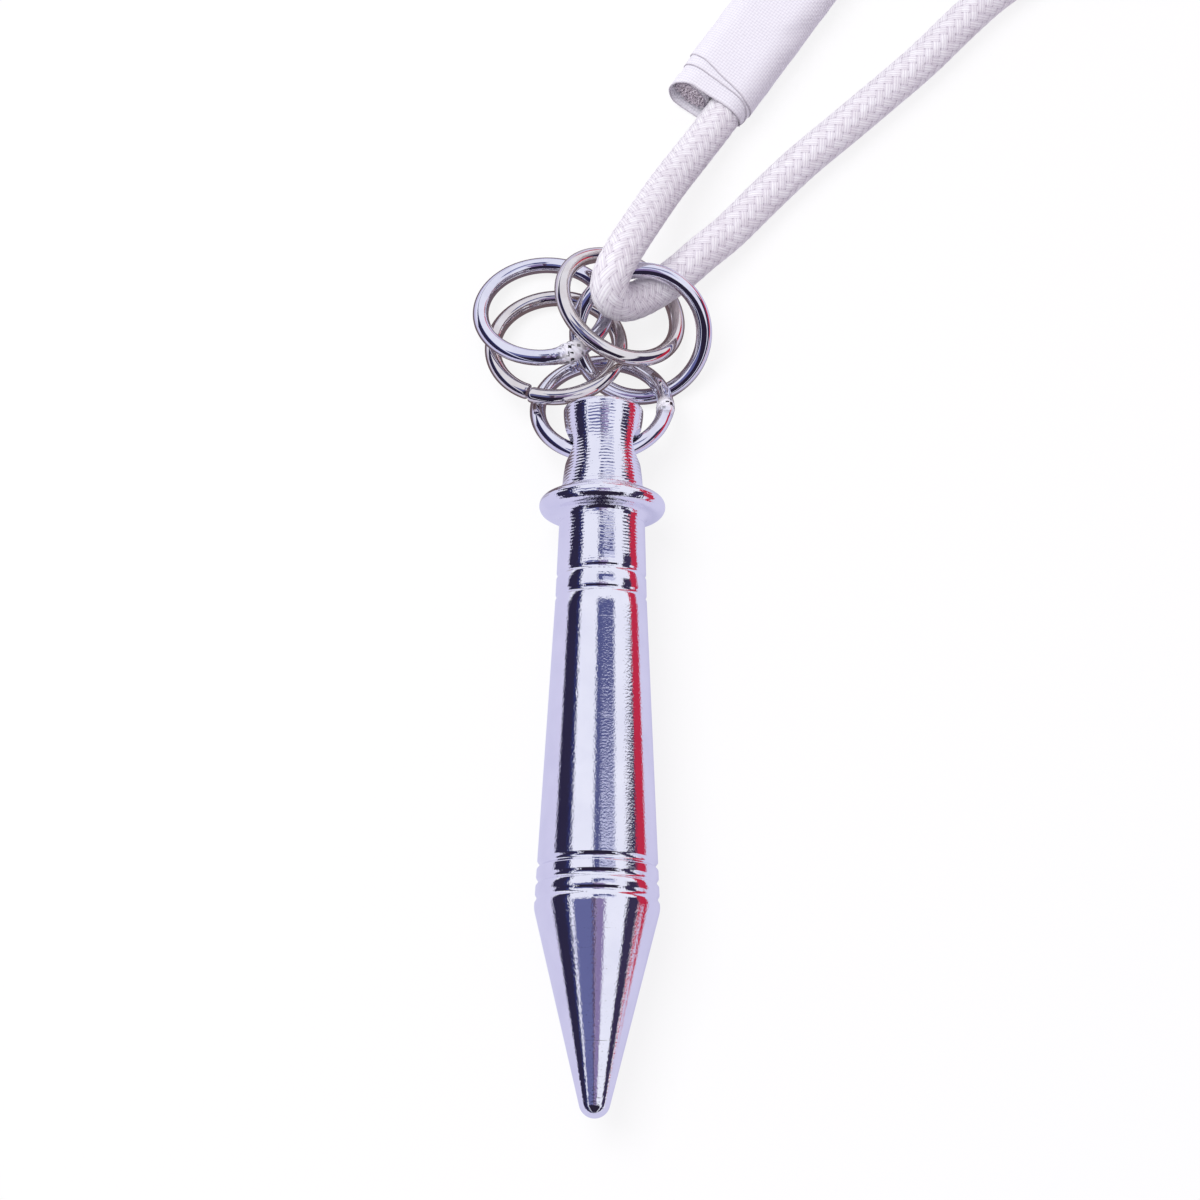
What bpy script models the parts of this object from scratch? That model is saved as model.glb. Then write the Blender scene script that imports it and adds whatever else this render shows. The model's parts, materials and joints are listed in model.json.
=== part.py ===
# A turned metal training pendant: a pointed head on a bunch of wire rings, hung from a loop of braided cord.
# It lies on a surface at z = 0, with the head's point towards -Y and the cord towards +Y.
import math

import bpy
import numpy as np
from mathutils import Matrix, Vector

MM = 0.001

# The head, measured along its axis from the flat end of the neck
HEAD_LENGTH = 109 * MM
NECK_END_DIAMETER = 12.3 * MM
NECK_EDGE_ROUND = 0.8 * MM
NECK_WAIST_DIAMETER = 11.0 * MM
NECK_BASE_DIAMETER = 12.3 * MM
NECK_LENGTH = 13.1 * MM
NECK_LAND_DIAMETER = 12.9 * MM
NECK_LAND_LENGTH = 0.6 * MM
FLARE_DIAMETER = 16.6 * MM
FLARE_LENGTH = 1.0 * MM
COLLAR_DIAMETER = 19.3 * MM
COLLAR_THICKNESS = 2.9 * MM
SHANK_TOP_DIAMETER = 13.1 * MM
SHANK_FILLET = 1.2 * MM
SHANK_MIDDLE_DIAMETER = 13.9 * MM
BODY_DIAMETER = 18.6 * MM
SHOULDER_LENGTH = 1.2 * MM
NOSE_LENGTH = 30.7 * MM
TIP_RADIUS = 2.3 * MM
UPPER_GROOVES = 2
UPPER_GROOVE_PITCH = 3.4 * MM
UPPER_GROOVE_WIDTH = 1.0 * MM
UPPER_GROOVE_DEPTH = 0.2 * MM
UPPER_GROOVE_START = 8.1 * MM
LOWER_GROOVES = 3
LOWER_GROOVE_PITCH = 2.5 * MM
LOWER_GROOVE_WIDTH = 1.3 * MM
LOWER_GROOVE_DEPTH = 0.35 * MM
LOWER_GROOVE_END = 0.65 * MM
CROSS_HOLE_DIAMETER = 6.2 * MM
CROSS_HOLE_FROM_END = 6.5 * MM

# The wire rings
RING_RADIUS = 10 * MM
WIRE_DIAMETER = 2.5 * MM
WELD_HEIGHT = 0.45 * MM
WELD_LENGTH = 3.4 * MM
BUTT_GAP = 0.45 * MM

# The cord and its binding
CORD_DIAMETER = 6.0 * MM
TAPE_THICKNESS = 0.45 * MM
BINDING_LENGTH = 36 * MM
CORD_END_RECESS = 2.5 * MM
COIL_RADIUS = 32 * MM
COIL_STEP = 6.6 * MM
COIL_TURNS = 2
COIL_TAIL_TURNS = 1 / 6
TIE_ANGLE = 225
TIE_WIDTH = 5.0 * MM
TIE_THICKNESS = 0.6 * MM

# Gap left between pieces that touch
CLEARANCE = 0.3 * MM
WIRE_CLEARANCE = 0.35 * MM

HEAD_SEGMENTS = 48
RING_SEGMENTS = 48
WIRE_SIDES = 10
COIL_POINTS = 24

# How the rings lie, counted in ring radii from the top of the hub ring; leans are in degrees
HANG_POINT = Vector((4.8, 54.4, 10.5)) * MM
RINGS = {
    "hub_ring": {"from_hang": (0.0, -0.90, -0.44), "lean": (1, -26)},
    "welded_ring": {"from_hang": (-1.47, -0.54, -0.57), "lean": (-3, 21), "weld_at": 296.5},
    "split_ring": {"from_hang": (-1.27, -1.10, -0.63), "lean": (-2, 18), "gap_at": 246.5},
    "plain_ring": {"from_hang": (-0.21, -0.43, -0.43), "lean": (23, 17.5)},
    "neck_ring": {"from_hang": (-0.54, -2.15, -0.50), "lean": (-4, 24), "weld_at": 356.5},
}
NECK_RING_SHIFT = 0.3 * MM

# The cord's seen stretch, from the binding's lower mouth round the hub ring and away, in millimetres
BINDING_MOUTH = Vector((15.7, 85.9, 0)) * MM
BINDING_HEADING = Vector((0.56, 0.83, 0)).normalized()
FRONT_ROUTE = [
    (16.9, 81.9, 4.0), (13.3, 76.2, 5.5), (9.3, 69.4, 8.3), (5.8, 62.3, 11.9), (2.9, 56.2, 14.9),
    (1.1, 52.3, 15.9), (0.1, 49.7, 15.3), (0.6, 48.2, 13.0), (2.8, 48.7, 9.9), (5.6, 50.8, 7.3),
    (8.5, 53.3, 5.8), (11.5, 55.8, 5.3), (15.1, 59.6, 4.5), (19.0, 63.4, 3.4), (24.8, 69.8, 3.0),
    (31.2, 76.4, 3.0), (37.7, 82.3, 3.0), (44.3, 88.4, 3.0), (50.9, 94.6, 3.0), (57.6, 101.7, 3.0),
    (63.8, 107.6, 3.0), (72.0, 113.0, 3.0),
]
COIL_CENTRE = Vector((75, 148, 0)) * MM
COIL_START = math.radians(-75)
TAIL_ROUTE = [(40.0, 147.2, 9.0), (38.9, 137.2, 6.6), (38.3, 128.3, 4.4)]


def wipe_scene():
    for obj in list(bpy.data.objects):
        bpy.data.objects.remove(obj, do_unlink=True)


def material(name, colour, metallic, roughness):
    made = bpy.data.materials.new(name)
    made.use_nodes = True
    shader = made.node_tree.nodes["Principled BSDF"]
    shader.inputs["Base Color"].default_value = (*colour, 1)
    shader.inputs["Metallic"].default_value = metallic
    shader.inputs["Roughness"].default_value = roughness
    return made


def add_object(name, data, finish, parent=None):
    obj = bpy.data.objects.new(name, data)
    bpy.context.scene.collection.objects.link(obj)
    if finish:
        data.materials.append(finish)
    obj.parent = parent
    return obj


def add_mesh(name, points, faces, finish, parent=None):
    mesh = bpy.data.meshes.new(name)
    mesh.from_pydata([tuple(p) for p in points], [], faces)
    mesh.shade_smooth()
    mesh.set_sharp_from_angle(angle=math.radians(35))
    return add_object(name, mesh, finish, parent)


def arc(centre, radius, start, end, steps):
    """Points (along, radius) on an arc, with angles in degrees from the axis direction."""
    angles = [math.radians(start + (end - start) * i / steps) for i in range(steps + 1)]
    return [(centre[0] + radius * math.cos(a), centre[1] + radius * math.sin(a)) for a in angles]


def collar_position():
    return NECK_LENGTH + NECK_LAND_LENGTH + FLARE_LENGTH + COLLAR_THICKNESS / 2


def shank_start():
    return collar_position() + COLLAR_THICKNESS / 2 + SHANK_FILLET


def nose_start():
    return HEAD_LENGTH - NOSE_LENGTH


def neck_profile():
    end, waist, base = NECK_END_DIAMETER / 2, NECK_WAIST_DIAMETER / 2, NECK_BASE_DIAMETER / 2
    points = [(0, 0)] + arc((NECK_EDGE_ROUND, end - NECK_EDGE_ROUND), NECK_EDGE_ROUND, 180, 90, 4)
    waist_at = CROSS_HOLE_FROM_END
    steps = 5
    for i in range(1, steps + 1):
        t = i / steps
        dip = (1 + math.cos(math.pi * t)) / 2
        points.append((NECK_EDGE_ROUND + (waist_at - NECK_EDGE_ROUND) * t, waist + (end - waist) * dip))
    for i in range(1, steps + 1):
        t = i / steps
        rise = (1 - math.cos(math.pi * t)) / 2
        points.append((waist_at + (NECK_LENGTH - waist_at) * t, waist + (base - waist) * rise))
    return points


def collar_profile():
    half = COLLAR_THICKNESS / 2
    land = NECK_LAND_DIAMETER / 2
    points = [(NECK_LENGTH, land), (NECK_LENGTH + NECK_LAND_LENGTH, land)]
    points.append((collar_position() - half, FLARE_DIAMETER / 2))
    points += arc((collar_position(), COLLAR_DIAMETER / 2 - half), half, 160, 0, 8)
    corner = (shank_start(), SHANK_TOP_DIAMETER / 2 + SHANK_FILLET)
    points += arc(corner, SHANK_FILLET, 180, 270, 4)
    return points


def groove(start, width, depth, radius_at):
    """A round-bottomed groove that starts this far along the head."""
    cut = []
    steps = 4
    for i in range(steps + 1):
        along = start + width * i / steps
        cut.append((along, radius_at(along) - depth * math.sin(math.pi * i / steps)))
    return cut


def shank_profile():
    top, middle, body = SHANK_TOP_DIAMETER / 2, SHANK_MIDDLE_DIAMETER / 2, BODY_DIAMETER / 2
    upper = shank_start() + UPPER_GROOVE_START
    middle_at = upper + (UPPER_GROOVES - 1) * UPPER_GROOVE_PITCH + UPPER_GROOVE_WIDTH
    body_at = nose_start()

    def radius_at(along):
        if along < middle_at:
            return top + (middle - top) * (along - shank_start()) / (middle_at - shank_start())
        return middle + (body - middle) * (along - middle_at) / (body_at - middle_at)

    points = []
    for i in range(UPPER_GROOVES):
        points += groove(upper + i * UPPER_GROOVE_PITCH, UPPER_GROOVE_WIDTH, UPPER_GROOVE_DEPTH, radius_at)
    lower = body_at - LOWER_GROOVE_END - LOWER_GROOVE_WIDTH - (LOWER_GROOVES - 1) * LOWER_GROOVE_PITCH
    for i in range(LOWER_GROOVES):
        points += groove(lower + i * LOWER_GROOVE_PITCH, LOWER_GROOVE_WIDTH, LOWER_GROOVE_DEPTH, radius_at)
    return points


def nose_profile():
    """The rounded shoulder, the straight cone and the ball at the tip."""
    body = BODY_DIAMETER / 2
    reach = HEAD_LENGTH - TIP_RADIUS
    slope = math.atan2(body - TIP_RADIUS, reach - nose_start())
    touch = (reach + TIP_RADIUS * math.sin(slope), TIP_RADIUS * math.cos(slope))
    corner = touch[0] - (body - touch[1]) / math.tan(slope)
    half = SHOULDER_LENGTH / 2
    points = []
    steps = 4
    for i in range(steps + 1):
        t = i / steps
        points.append((corner - half + 2 * half * t, body - t * t * half * math.tan(slope)))
    points += arc((reach, 0), TIP_RADIUS, 90 - math.degrees(slope), 0, 6)
    return points[:-1] + [(HEAD_LENGTH, 0)]


def head_profile():
    raw = neck_profile() + collar_profile() + shank_profile() + nose_profile()
    points = [raw[0]]
    for point in raw[1:]:
        if math.dist(point, points[-1]) > 0.02 * MM:
            points.append(point)
    return points


def build_head(finish):
    """The head stands on its local Z, neck end up, with its origin in the middle of the cross hole."""
    profile = [(radius, 0, CROSS_HOLE_FROM_END - along) for along, radius in head_profile()]
    mesh = bpy.data.meshes.new("head")
    mesh.from_pydata(profile, [(i, i + 1) for i in range(len(profile) - 1)], [])
    head = add_object("head", mesh, finish)
    turn = head.modifiers.new("turned", "SCREW")
    turn.steps = turn.render_steps = HEAD_SEGMENTS
    turn.use_merge_vertices = True
    turn.merge_threshold = 0.00001
    turn.use_smooth_shade = True
    drill = build_drill()
    cut = head.modifiers.new("cross_hole", "BOOLEAN")
    cut.operation = "DIFFERENCE"
    cut.object = drill
    return head, drill


def build_drill():
    """The cutter for the cross hole: a round bar along X through the neck."""
    sides, reach, radius = 24, NECK_END_DIAMETER, CROSS_HOLE_DIAMETER / 2
    points = []
    for x in (-reach, reach):
        for i in range(sides):
            a = 2 * math.pi * (i + 0.5) / sides
            points.append((x, radius * math.cos(a), radius * math.sin(a)))
    faces = [(i, (i + 1) % sides, sides + (i + 1) % sides, sides + i) for i in range(sides)]
    faces = [face[::-1] for face in faces]
    faces.append(tuple(range(sides)))
    faces.append(tuple(reversed(range(sides, 2 * sides))))
    drill = add_mesh("cross_hole_cutter", points, [face[::-1] for face in faces], None)
    drill.hide_render = True
    drill.display_type = "WIRE"
    return drill


def ring_normal(lean):
    x, y = math.sin(math.radians(lean[0])), math.sin(math.radians(lean[1]))
    return np.array([x, y, math.sqrt(1 - x * x - y * y)])


def ring_axes(normal):
    """Two directions in the ring's plane: the first lies along X as nearly as it can."""
    first = np.array([1.0, 0, 0]) - normal * normal[0]
    first /= np.linalg.norm(first)
    return first, np.cross(normal, first)


def ring_points(ring, count=144):
    first, second = ring_axes(ring["normal"])
    angles = np.linspace(0, 2 * math.pi, count, endpoint=False)[:, None]
    return ring["centre"] + RING_RADIUS * (np.cos(angles) * first + np.sin(angles) * second)


def nearest(a, b):
    apart = np.linalg.norm(a[:, None] - b[None], axis=2)
    i, j = np.unravel_index(apart.argmin(), apart.shape)
    return apart[i, j], a[i], b[j]


def push(ring, at, shift):
    """Moves the point of a ring at this place by a shift: half by sliding the ring and half by tilting it."""
    arm = at - ring["centre"]
    turn = np.cross(arm, shift) / (arm @ arm) / 2
    ring["centre"] = ring["centre"] + shift / 2
    angle = np.linalg.norm(turn)
    if angle > 1e-12:
        spin = np.array(Matrix.Rotation(angle, 3, Vector(turn / angle)))
        ring["normal"] = spin @ ring["normal"]


def neck_axis_height():
    """How high the cross hole is when the head lies on its collar and its widest part."""
    return COLLAR_DIAMETER / 2 + math.tan(head_tilt()) * (collar_position() - CROSS_HOLE_FROM_END)


def place_neck_ring(ring):
    """The neck ring reaches from the cross hole down to the surface that the head lies on."""
    x = math.sin(math.radians(RINGS["neck_ring"]["lean"][0]))
    drop = (neck_axis_height() - WIRE_DIAMETER / 2) / RING_RADIUS
    y = drop / 2
    for _ in range(40):
        y = (y + (drop - math.hypot(x, y)) * math.sqrt(1 - x * x)) / 2
    ring["normal"] = np.array([x, y, math.sqrt(1 - x * x - y * y)])
    ring["centre"][2] = WIRE_DIAMETER / 2 + RING_RADIUS * math.hypot(x, y)


def cross_hole(ring):
    """The middle of the cross hole: the ring's wire bows through it, clear at its middle and at both ends."""
    second = ring_axes(ring["normal"])[1]
    near = ring["centre"] - RING_RADIUS * second
    wall = (NECK_WAIST_DIAMETER + NECK_END_DIAMETER) / 4 + NECK_RING_SHIFT
    leaves = RING_RADIUS - math.sqrt((RING_RADIUS - WIRE_DIAMETER / 2) ** 2 - wall ** 2)
    bow = (leaves * second[1] - WIRE_DIAMETER / 2) / 2
    return Vector((near[0] + NECK_RING_SHIFT, near[1] + bow, near[2]))


def settle_rings(cord_line):
    """Starts the rings as they lie and moves them apart until no two wires are nearer than the clearance."""
    rings = {}
    for name, lay in RINGS.items():
        centre = np.array(HANG_POINT) + RING_RADIUS * np.array(lay["from_hang"])
        rings[name] = {"centre": centre, "normal": ring_normal(lay["lean"])}
    place_neck_ring(rings["neck_ring"])
    loose = [name for name in rings if name != "neck_ring"]
    names = list(rings)
    neck_end = cross_hole(rings["neck_ring"]).y + CROSS_HOLE_FROM_END
    apart = WIRE_DIAMETER + WIRE_CLEARANCE
    off_cord = (WIRE_DIAMETER + CORD_DIAMETER) / 2 + WIRE_CLEARANCE
    for _ in range(300):
        worst = 0.0
        for i, one in enumerate(names):
            for two in names[:i]:
                gap, p, q = nearest(ring_points(rings[one]), ring_points(rings[two]))
                short = apart - gap
                worst = max(worst, short)
                if short > 0:
                    away = (p - q) / gap * short
                    both = one in loose and two in loose
                    if one in loose:
                        push(rings[one], p, away / (2 if both else 1))
                    if two in loose:
                        push(rings[two], q, -away / (2 if both else 1))
        for name in loose:
            ring = rings[name]
            gap, p, q = nearest(ring_points(ring), cord_line)
            worst = max(worst, off_cord - gap)
            if gap < off_cord:
                push(ring, p, (p - q) / gap * (off_cord - gap))
            points = ring_points(ring)
            low = points[points[:, 2].argmin()]
            if low[2] < WIRE_DIAMETER / 2:
                push(ring, low, np.array([0, 0, WIRE_DIAMETER / 2 - low[2]]))
            beside = points[np.abs(points[:, 0] - rings["neck_ring"]["centre"][0]) < NECK_END_DIAMETER / 2]
            if len(beside):
                near = beside[beside[:, 1].argmin()]
                short = neck_end + WIRE_DIAMETER / 2 + WIRE_CLEARANCE - near[1]
                if short > 0:
                    push(ring, near, np.array([0, short, 0]))
        if worst < 0.02 * MM:
            break
    print("rings settled, widest shortfall %.3f mm" % (worst / MM))
    return rings


def build_ring(name, ring, finish):
    """A wire ring in its own XY plane, with a weld bead or a butt gap at the angle that its layout gives."""
    lay = RINGS[name]
    first, second = ring_axes(ring["normal"])
    place = Matrix((first, second, ring["normal"])).transposed().to_4x4()
    place.translation = Vector(ring["centre"])
    open_ring = "gap_at" in lay
    if open_ring:
        half_gap = BUTT_GAP / RING_RADIUS / 2
        start = math.radians(lay["gap_at"]) + half_gap
        angles = np.linspace(start, start + 2 * math.pi - 2 * half_gap, RING_SEGMENTS + 1)
    else:
        angles = np.linspace(0, 2 * math.pi, RING_SEGMENTS, endpoint=False)
    if "weld_at" in lay:
        angles = angles + math.radians(lay["weld_at"])
    points = []
    for angle in angles:
        radius = WIRE_DIAMETER / 2
        if "weld_at" in lay:
            off = math.remainder(angle - math.radians(lay["weld_at"]), 2 * math.pi) * RING_RADIUS
            radius += WELD_HEIGHT * math.exp(-((2 * off / WELD_LENGTH) ** 2) * 2)
        for k in range(WIRE_SIDES):
            a = 2 * math.pi * k / WIRE_SIDES
            out = RING_RADIUS + radius * math.cos(a)
            points.append((out * math.cos(angle), out * math.sin(angle), radius * math.sin(a)))
    count = len(angles)
    faces = []
    for i in range(count - 1 if open_ring else count):
        for k in range(WIRE_SIDES):
            j, m = (i + 1) % count, (k + 1) % WIRE_SIDES
            faces.append((i * WIRE_SIDES + k, j * WIRE_SIDES + k, j * WIRE_SIDES + m, i * WIRE_SIDES + m))
    if open_ring:
        faces.append(tuple(range(WIRE_SIDES)))
        faces.append(tuple(reversed(range((count - 1) * WIRE_SIDES, count * WIRE_SIDES))))
    obj = add_mesh(name, points, faces, finish)
    obj.matrix_world = place
    return obj


def smooth_line(route, step):
    """Points about a step apart on a smooth curve (Catmull-Rom, by chord length) through the route's points."""
    route = np.array(route)
    ends = [2 * route[0] - route[1], 2 * route[-1] - route[-2]]
    knots = np.vstack([ends[0], route, ends[1]])
    fine = []
    for i in range(1, len(knots) - 2):
        p0, p1, p2, p3 = knots[i - 1:i + 3]
        d0, d1, d2 = (math.sqrt(np.linalg.norm(b - a)) for a, b in ((p0, p1), (p1, p2), (p2, p3)))
        m1 = (p1 - p0) / d0 - (p2 - p0) / (d0 + d1) + (p2 - p1) / d1
        m2 = (p2 - p1) / d1 - (p3 - p1) / (d1 + d2) + (p3 - p2) / d2
        for t in np.linspace(0, 1, 20, endpoint=False):
            h1, h2 = 2 * t ** 3 - 3 * t ** 2 + 1, t ** 3 - 2 * t ** 2 + t
            h3, h4 = -2 * t ** 3 + 3 * t ** 2, t ** 3 - t ** 2
            fine.append(h1 * p1 + h2 * m1 * d1 + h3 * p2 + h4 * m2 * d1)
    fine = np.array(fine + [route[-1]])
    along = np.concatenate([[0], np.cumsum(np.linalg.norm(np.diff(fine, axis=0), axis=1))])
    count = max(2, round(along[-1] / step) + 1)
    even = np.linspace(0, along[-1], count)
    return np.stack([np.interp(even, along, fine[:, k]) for k in range(3)], axis=1)


def line_length(line):
    return float(np.linalg.norm(np.diff(line, axis=0), axis=1).sum())


def trimmed(line, start=0.0, end=0.0):
    """The line with these lengths taken off its ends."""
    line = np.array(line)
    for cut, back in ((start, False), (end, True)):
        if back:
            line = line[::-1]
        while cut > 0:
            first = np.linalg.norm(line[1] - line[0])
            if first > cut:
                line[0] = line[0] + (line[1] - line[0]) * cut / first
                break
            cut -= first
            line = line[1:]
        if back:
            line = line[::-1]
    return line


def build_tube(name, line, bevel, finish, parent):
    curve = bpy.data.curves.new(name, "CURVE")
    curve.dimensions = "3D"
    curve.bevel_depth = CORD_DIAMETER / 2
    curve.bevel_resolution = bevel
    curve.use_fill_caps = True
    spline = curve.splines.new("POLY")
    spline.points.add(len(line) - 1)
    for point, place in zip(spline.points, line):
        point.co = (*place, 1)
    return add_object(name, curve, finish, parent)


def binding_side():
    return Vector((BINDING_HEADING.y, -BINDING_HEADING.x, 0))


def binding_height():
    return CORD_DIAMETER / 2 + CLEARANCE + TAPE_THICKNESS


def in_binding(along, side):
    """A point on one of the two cords that lie side by side in the binding: side is 1 or -1."""
    across = (CORD_DIAMETER + CLEARANCE) / 2
    place = BINDING_MOUTH + BINDING_HEADING * along + binding_side() * across * side
    return np.array((place.x, place.y, binding_height()))


def front_line():
    """The cord from its end in the binding, out of the lower mouth, round the hub ring and off to the coil."""
    route = [in_binding(BINDING_LENGTH - CORD_END_RECESS, 1), in_binding(BINDING_LENGTH / 2, 1)]
    route += [in_binding(0, 1)] + [np.array(p) * MM for p in FRONT_ROUTE]
    start = coil_line()
    return smooth_line(route + [start[0]], CORD_DIAMETER / 2)


def coil_climb():
    return CORD_DIAMETER + 1.5 * CLEARANCE


def coil_lift(angle):
    """The turns rise a little where the tie passes under them."""
    off = math.remainder(angle - math.radians(TIE_ANGLE), 2 * math.pi)
    return (TIE_THICKNESS + 1.5 * CLEARANCE) * math.exp(-((off / 0.7) ** 2))


def coil_line():
    """Two turns spiral in on the surface, a half turn climbs, and two and a bit spiral out on top."""
    turns = COIL_TURNS + 0.5 + COIL_TURNS + COIL_TAIL_TURNS
    inner = COIL_RADIUS - COIL_TURNS * COIL_STEP
    low = CORD_DIAMETER / 2
    climb = coil_climb()
    line = []
    for i in range(round(turns * COIL_POINTS) + 1):
        turn = i / COIL_POINTS
        if turn < COIL_TURNS:
            radius, height = COIL_RADIUS - COIL_STEP * turn, low
        elif turn < COIL_TURNS + 0.5:
            part = (turn - COIL_TURNS) * 2
            radius = inner - COIL_STEP / 2 * math.sin(math.pi * part)
            height = low + climb * (1 - math.cos(math.pi * part)) / 2
        else:
            radius, height = inner + COIL_STEP * (turn - COIL_TURNS - 0.5), low + climb
        angle = COIL_START + 2 * math.pi * turn
        height += coil_lift(angle)
        place = COIL_CENTRE + Vector((radius * math.cos(angle), radius * math.sin(angle), height))
        line.append(np.array(place))
    return np.array(line)


def tail_line():
    """The cord from the coil down into the binding's upper mouth, ending just inside its lower one."""
    route = [coil_line()[-1]] + [np.array(p) * MM for p in TAIL_ROUTE]
    route += [in_binding(BINDING_LENGTH + CORD_DIAMETER / 2, -1), in_binding(BINDING_LENGTH / 2, -1)]
    route += [in_binding(CORD_END_RECESS, -1)]
    return smooth_line(route, CORD_DIAMETER)


def least_gap(line, diameter):
    """The least distance between stretches of a tube that lie over a third of a turn apart along it."""
    line = np.array(line)
    fine = np.concatenate([np.linspace(a, b, 4, endpoint=False) for a, b in zip(line, line[1:])])
    apart = np.linalg.norm(fine[:, None] - fine[None], axis=2)
    skip = 4 * COIL_POINTS // 3
    i, j = np.indices(apart.shape)
    return float(apart[np.abs(i - j) > skip].min()) - diameter


def build_sleeve(name, outline_in, outline_out, path_from, path_to, finish, parent):
    """An open sleeve between two closed outlines of equal count, given as places in 3-D at the two ends."""
    count = len(outline_in)
    rings = [[path_from(p) for p in outline_out], [path_to(p) for p in outline_out],
             [path_to(p) for p in outline_in], [path_from(p) for p in outline_in]]
    points = [p for ring in rings for p in ring]
    faces = []
    for band in range(4):
        nxt = (band + 1) % 4
        for i in range(count):
            j = (i + 1) % count
            faces.append((band * count + i, band * count + j, nxt * count + j, nxt * count + i))
    return add_mesh(name, points, faces, finish, parent)


def stadium(half_straight, radius, steps):
    """A closed outline of two half circles joined by straight sides."""
    outline = []
    for side, start in ((1, -90), (-1, 90)):
        for i in range(steps + 1):
            a = math.radians(start + 180 * i / steps)
            outline.append((side * half_straight + radius * math.cos(a), radius * math.sin(a)))
    return outline


def build_binding(finish, parent):
    """A sleeve of tape round the two cord ends, open at both mouths."""
    half_straight = (CORD_DIAMETER + CLEARANCE) / 2
    bore = CORD_DIAMETER / 2 + CLEARANCE
    side = binding_side()
    middle = BINDING_MOUTH + Vector((0, 0, binding_height()))

    def at(along):
        start = middle + BINDING_HEADING * along
        return lambda p: start + side * p[0] + Vector((0, 0, p[1]))

    inside = stadium(half_straight, bore, 10)
    outside = stadium(half_straight, bore + TAPE_THICKNESS, 10)
    return build_sleeve("tape_binding", inside, outside, at(BINDING_LENGTH), at(0), finish, parent)


def build_tie(finish, parent):
    """A band of tape round the coil's four strands, where they lie two on two."""
    angle = math.radians(TIE_ANGLE)
    turn = (angle - COIL_START) / (2 * math.pi)
    bow = TIE_WIDTH ** 2 / (8 * (COIL_RADIUS - COIL_STEP * COIL_TURNS))
    inner = COIL_RADIUS - COIL_STEP * (turn + 1) - 2 * bow - CLEARANCE
    outer = COIL_RADIUS - COIL_STEP * (COIL_TURNS + 0.5 - 1 - turn)
    out = Vector((math.cos(angle), math.sin(angle), 0))
    along = Vector((-math.sin(angle), math.cos(angle), 0))
    height = CORD_DIAMETER / 2 + coil_lift(angle) + coil_climb() / 2
    middle = COIL_CENTRE + out * (outer + inner) / 2 + Vector((0, 0, height))
    wide, high = (outer - inner) / 2, coil_climb() / 2

    def outline(grow):
        bend = CORD_DIAMETER / 2 + CLEARANCE + grow
        points = []
        for x, z, start in ((wide, -high, -90), (wide, high, 0), (-wide, high, 90), (-wide, -high, 180)):
            points += arc((x, z), bend, start, start + 90, 4)
        return points

    def at(offset):
        start = middle + along * offset
        return lambda p: start + out * p[0] + Vector((0, 0, p[1]))

    return build_sleeve("coil_tie", outline(0), outline(TIE_THICKNESS), at(TIE_WIDTH / 2),
                        at(-TIE_WIDTH / 2), finish, parent)


def head_tilt():
    """The head lies on its collar and on its widest part, which differ in size."""
    drop = (COLLAR_DIAMETER - BODY_DIAMETER) / 2
    return math.atan2(drop, nose_start() - collar_position())


def hang_axis(hub, cord_line):
    """Where the hub ring hangs in the cord: the places on its wire nearest the cord's two strands."""
    turn = int(np.linalg.norm(cord_line - np.array(HANG_POINT), axis=1).argmin())
    bight = int(cord_line[:, 1][: turn + 20].argmin())
    places = []
    for strand in (cord_line[:bight - 1], cord_line[bight + 2:]):
        places.append(nearest(ring_points(hub, 720), strand)[1])
    return places


def bottom_centre(rings, hole):
    """The middle of the box round the head and the rings, on the surface they lie on."""
    half = COLLAR_DIAMETER / 2
    low = np.array((hole.x - half, hole.y + CROSS_HOLE_FROM_END - HEAD_LENGTH))
    high = np.array((hole.x + half, hole.y))
    for ring in rings.values():
        reach = RING_RADIUS * np.sqrt(1 - ring["normal"][:2] ** 2) + WIRE_DIAMETER / 2
        low = np.minimum(low, ring["centre"][:2] - reach)
        high = np.maximum(high, ring["centre"][:2] + reach)
    return Vector((*(low + high) / 2, 0))


def hang(obj, parent):
    """Parents a piece and leaves it where it is."""
    bpy.context.view_layer.update()
    obj.parent = parent
    obj.matrix_parent_inverse = parent.matrix_world.inverted()


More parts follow.
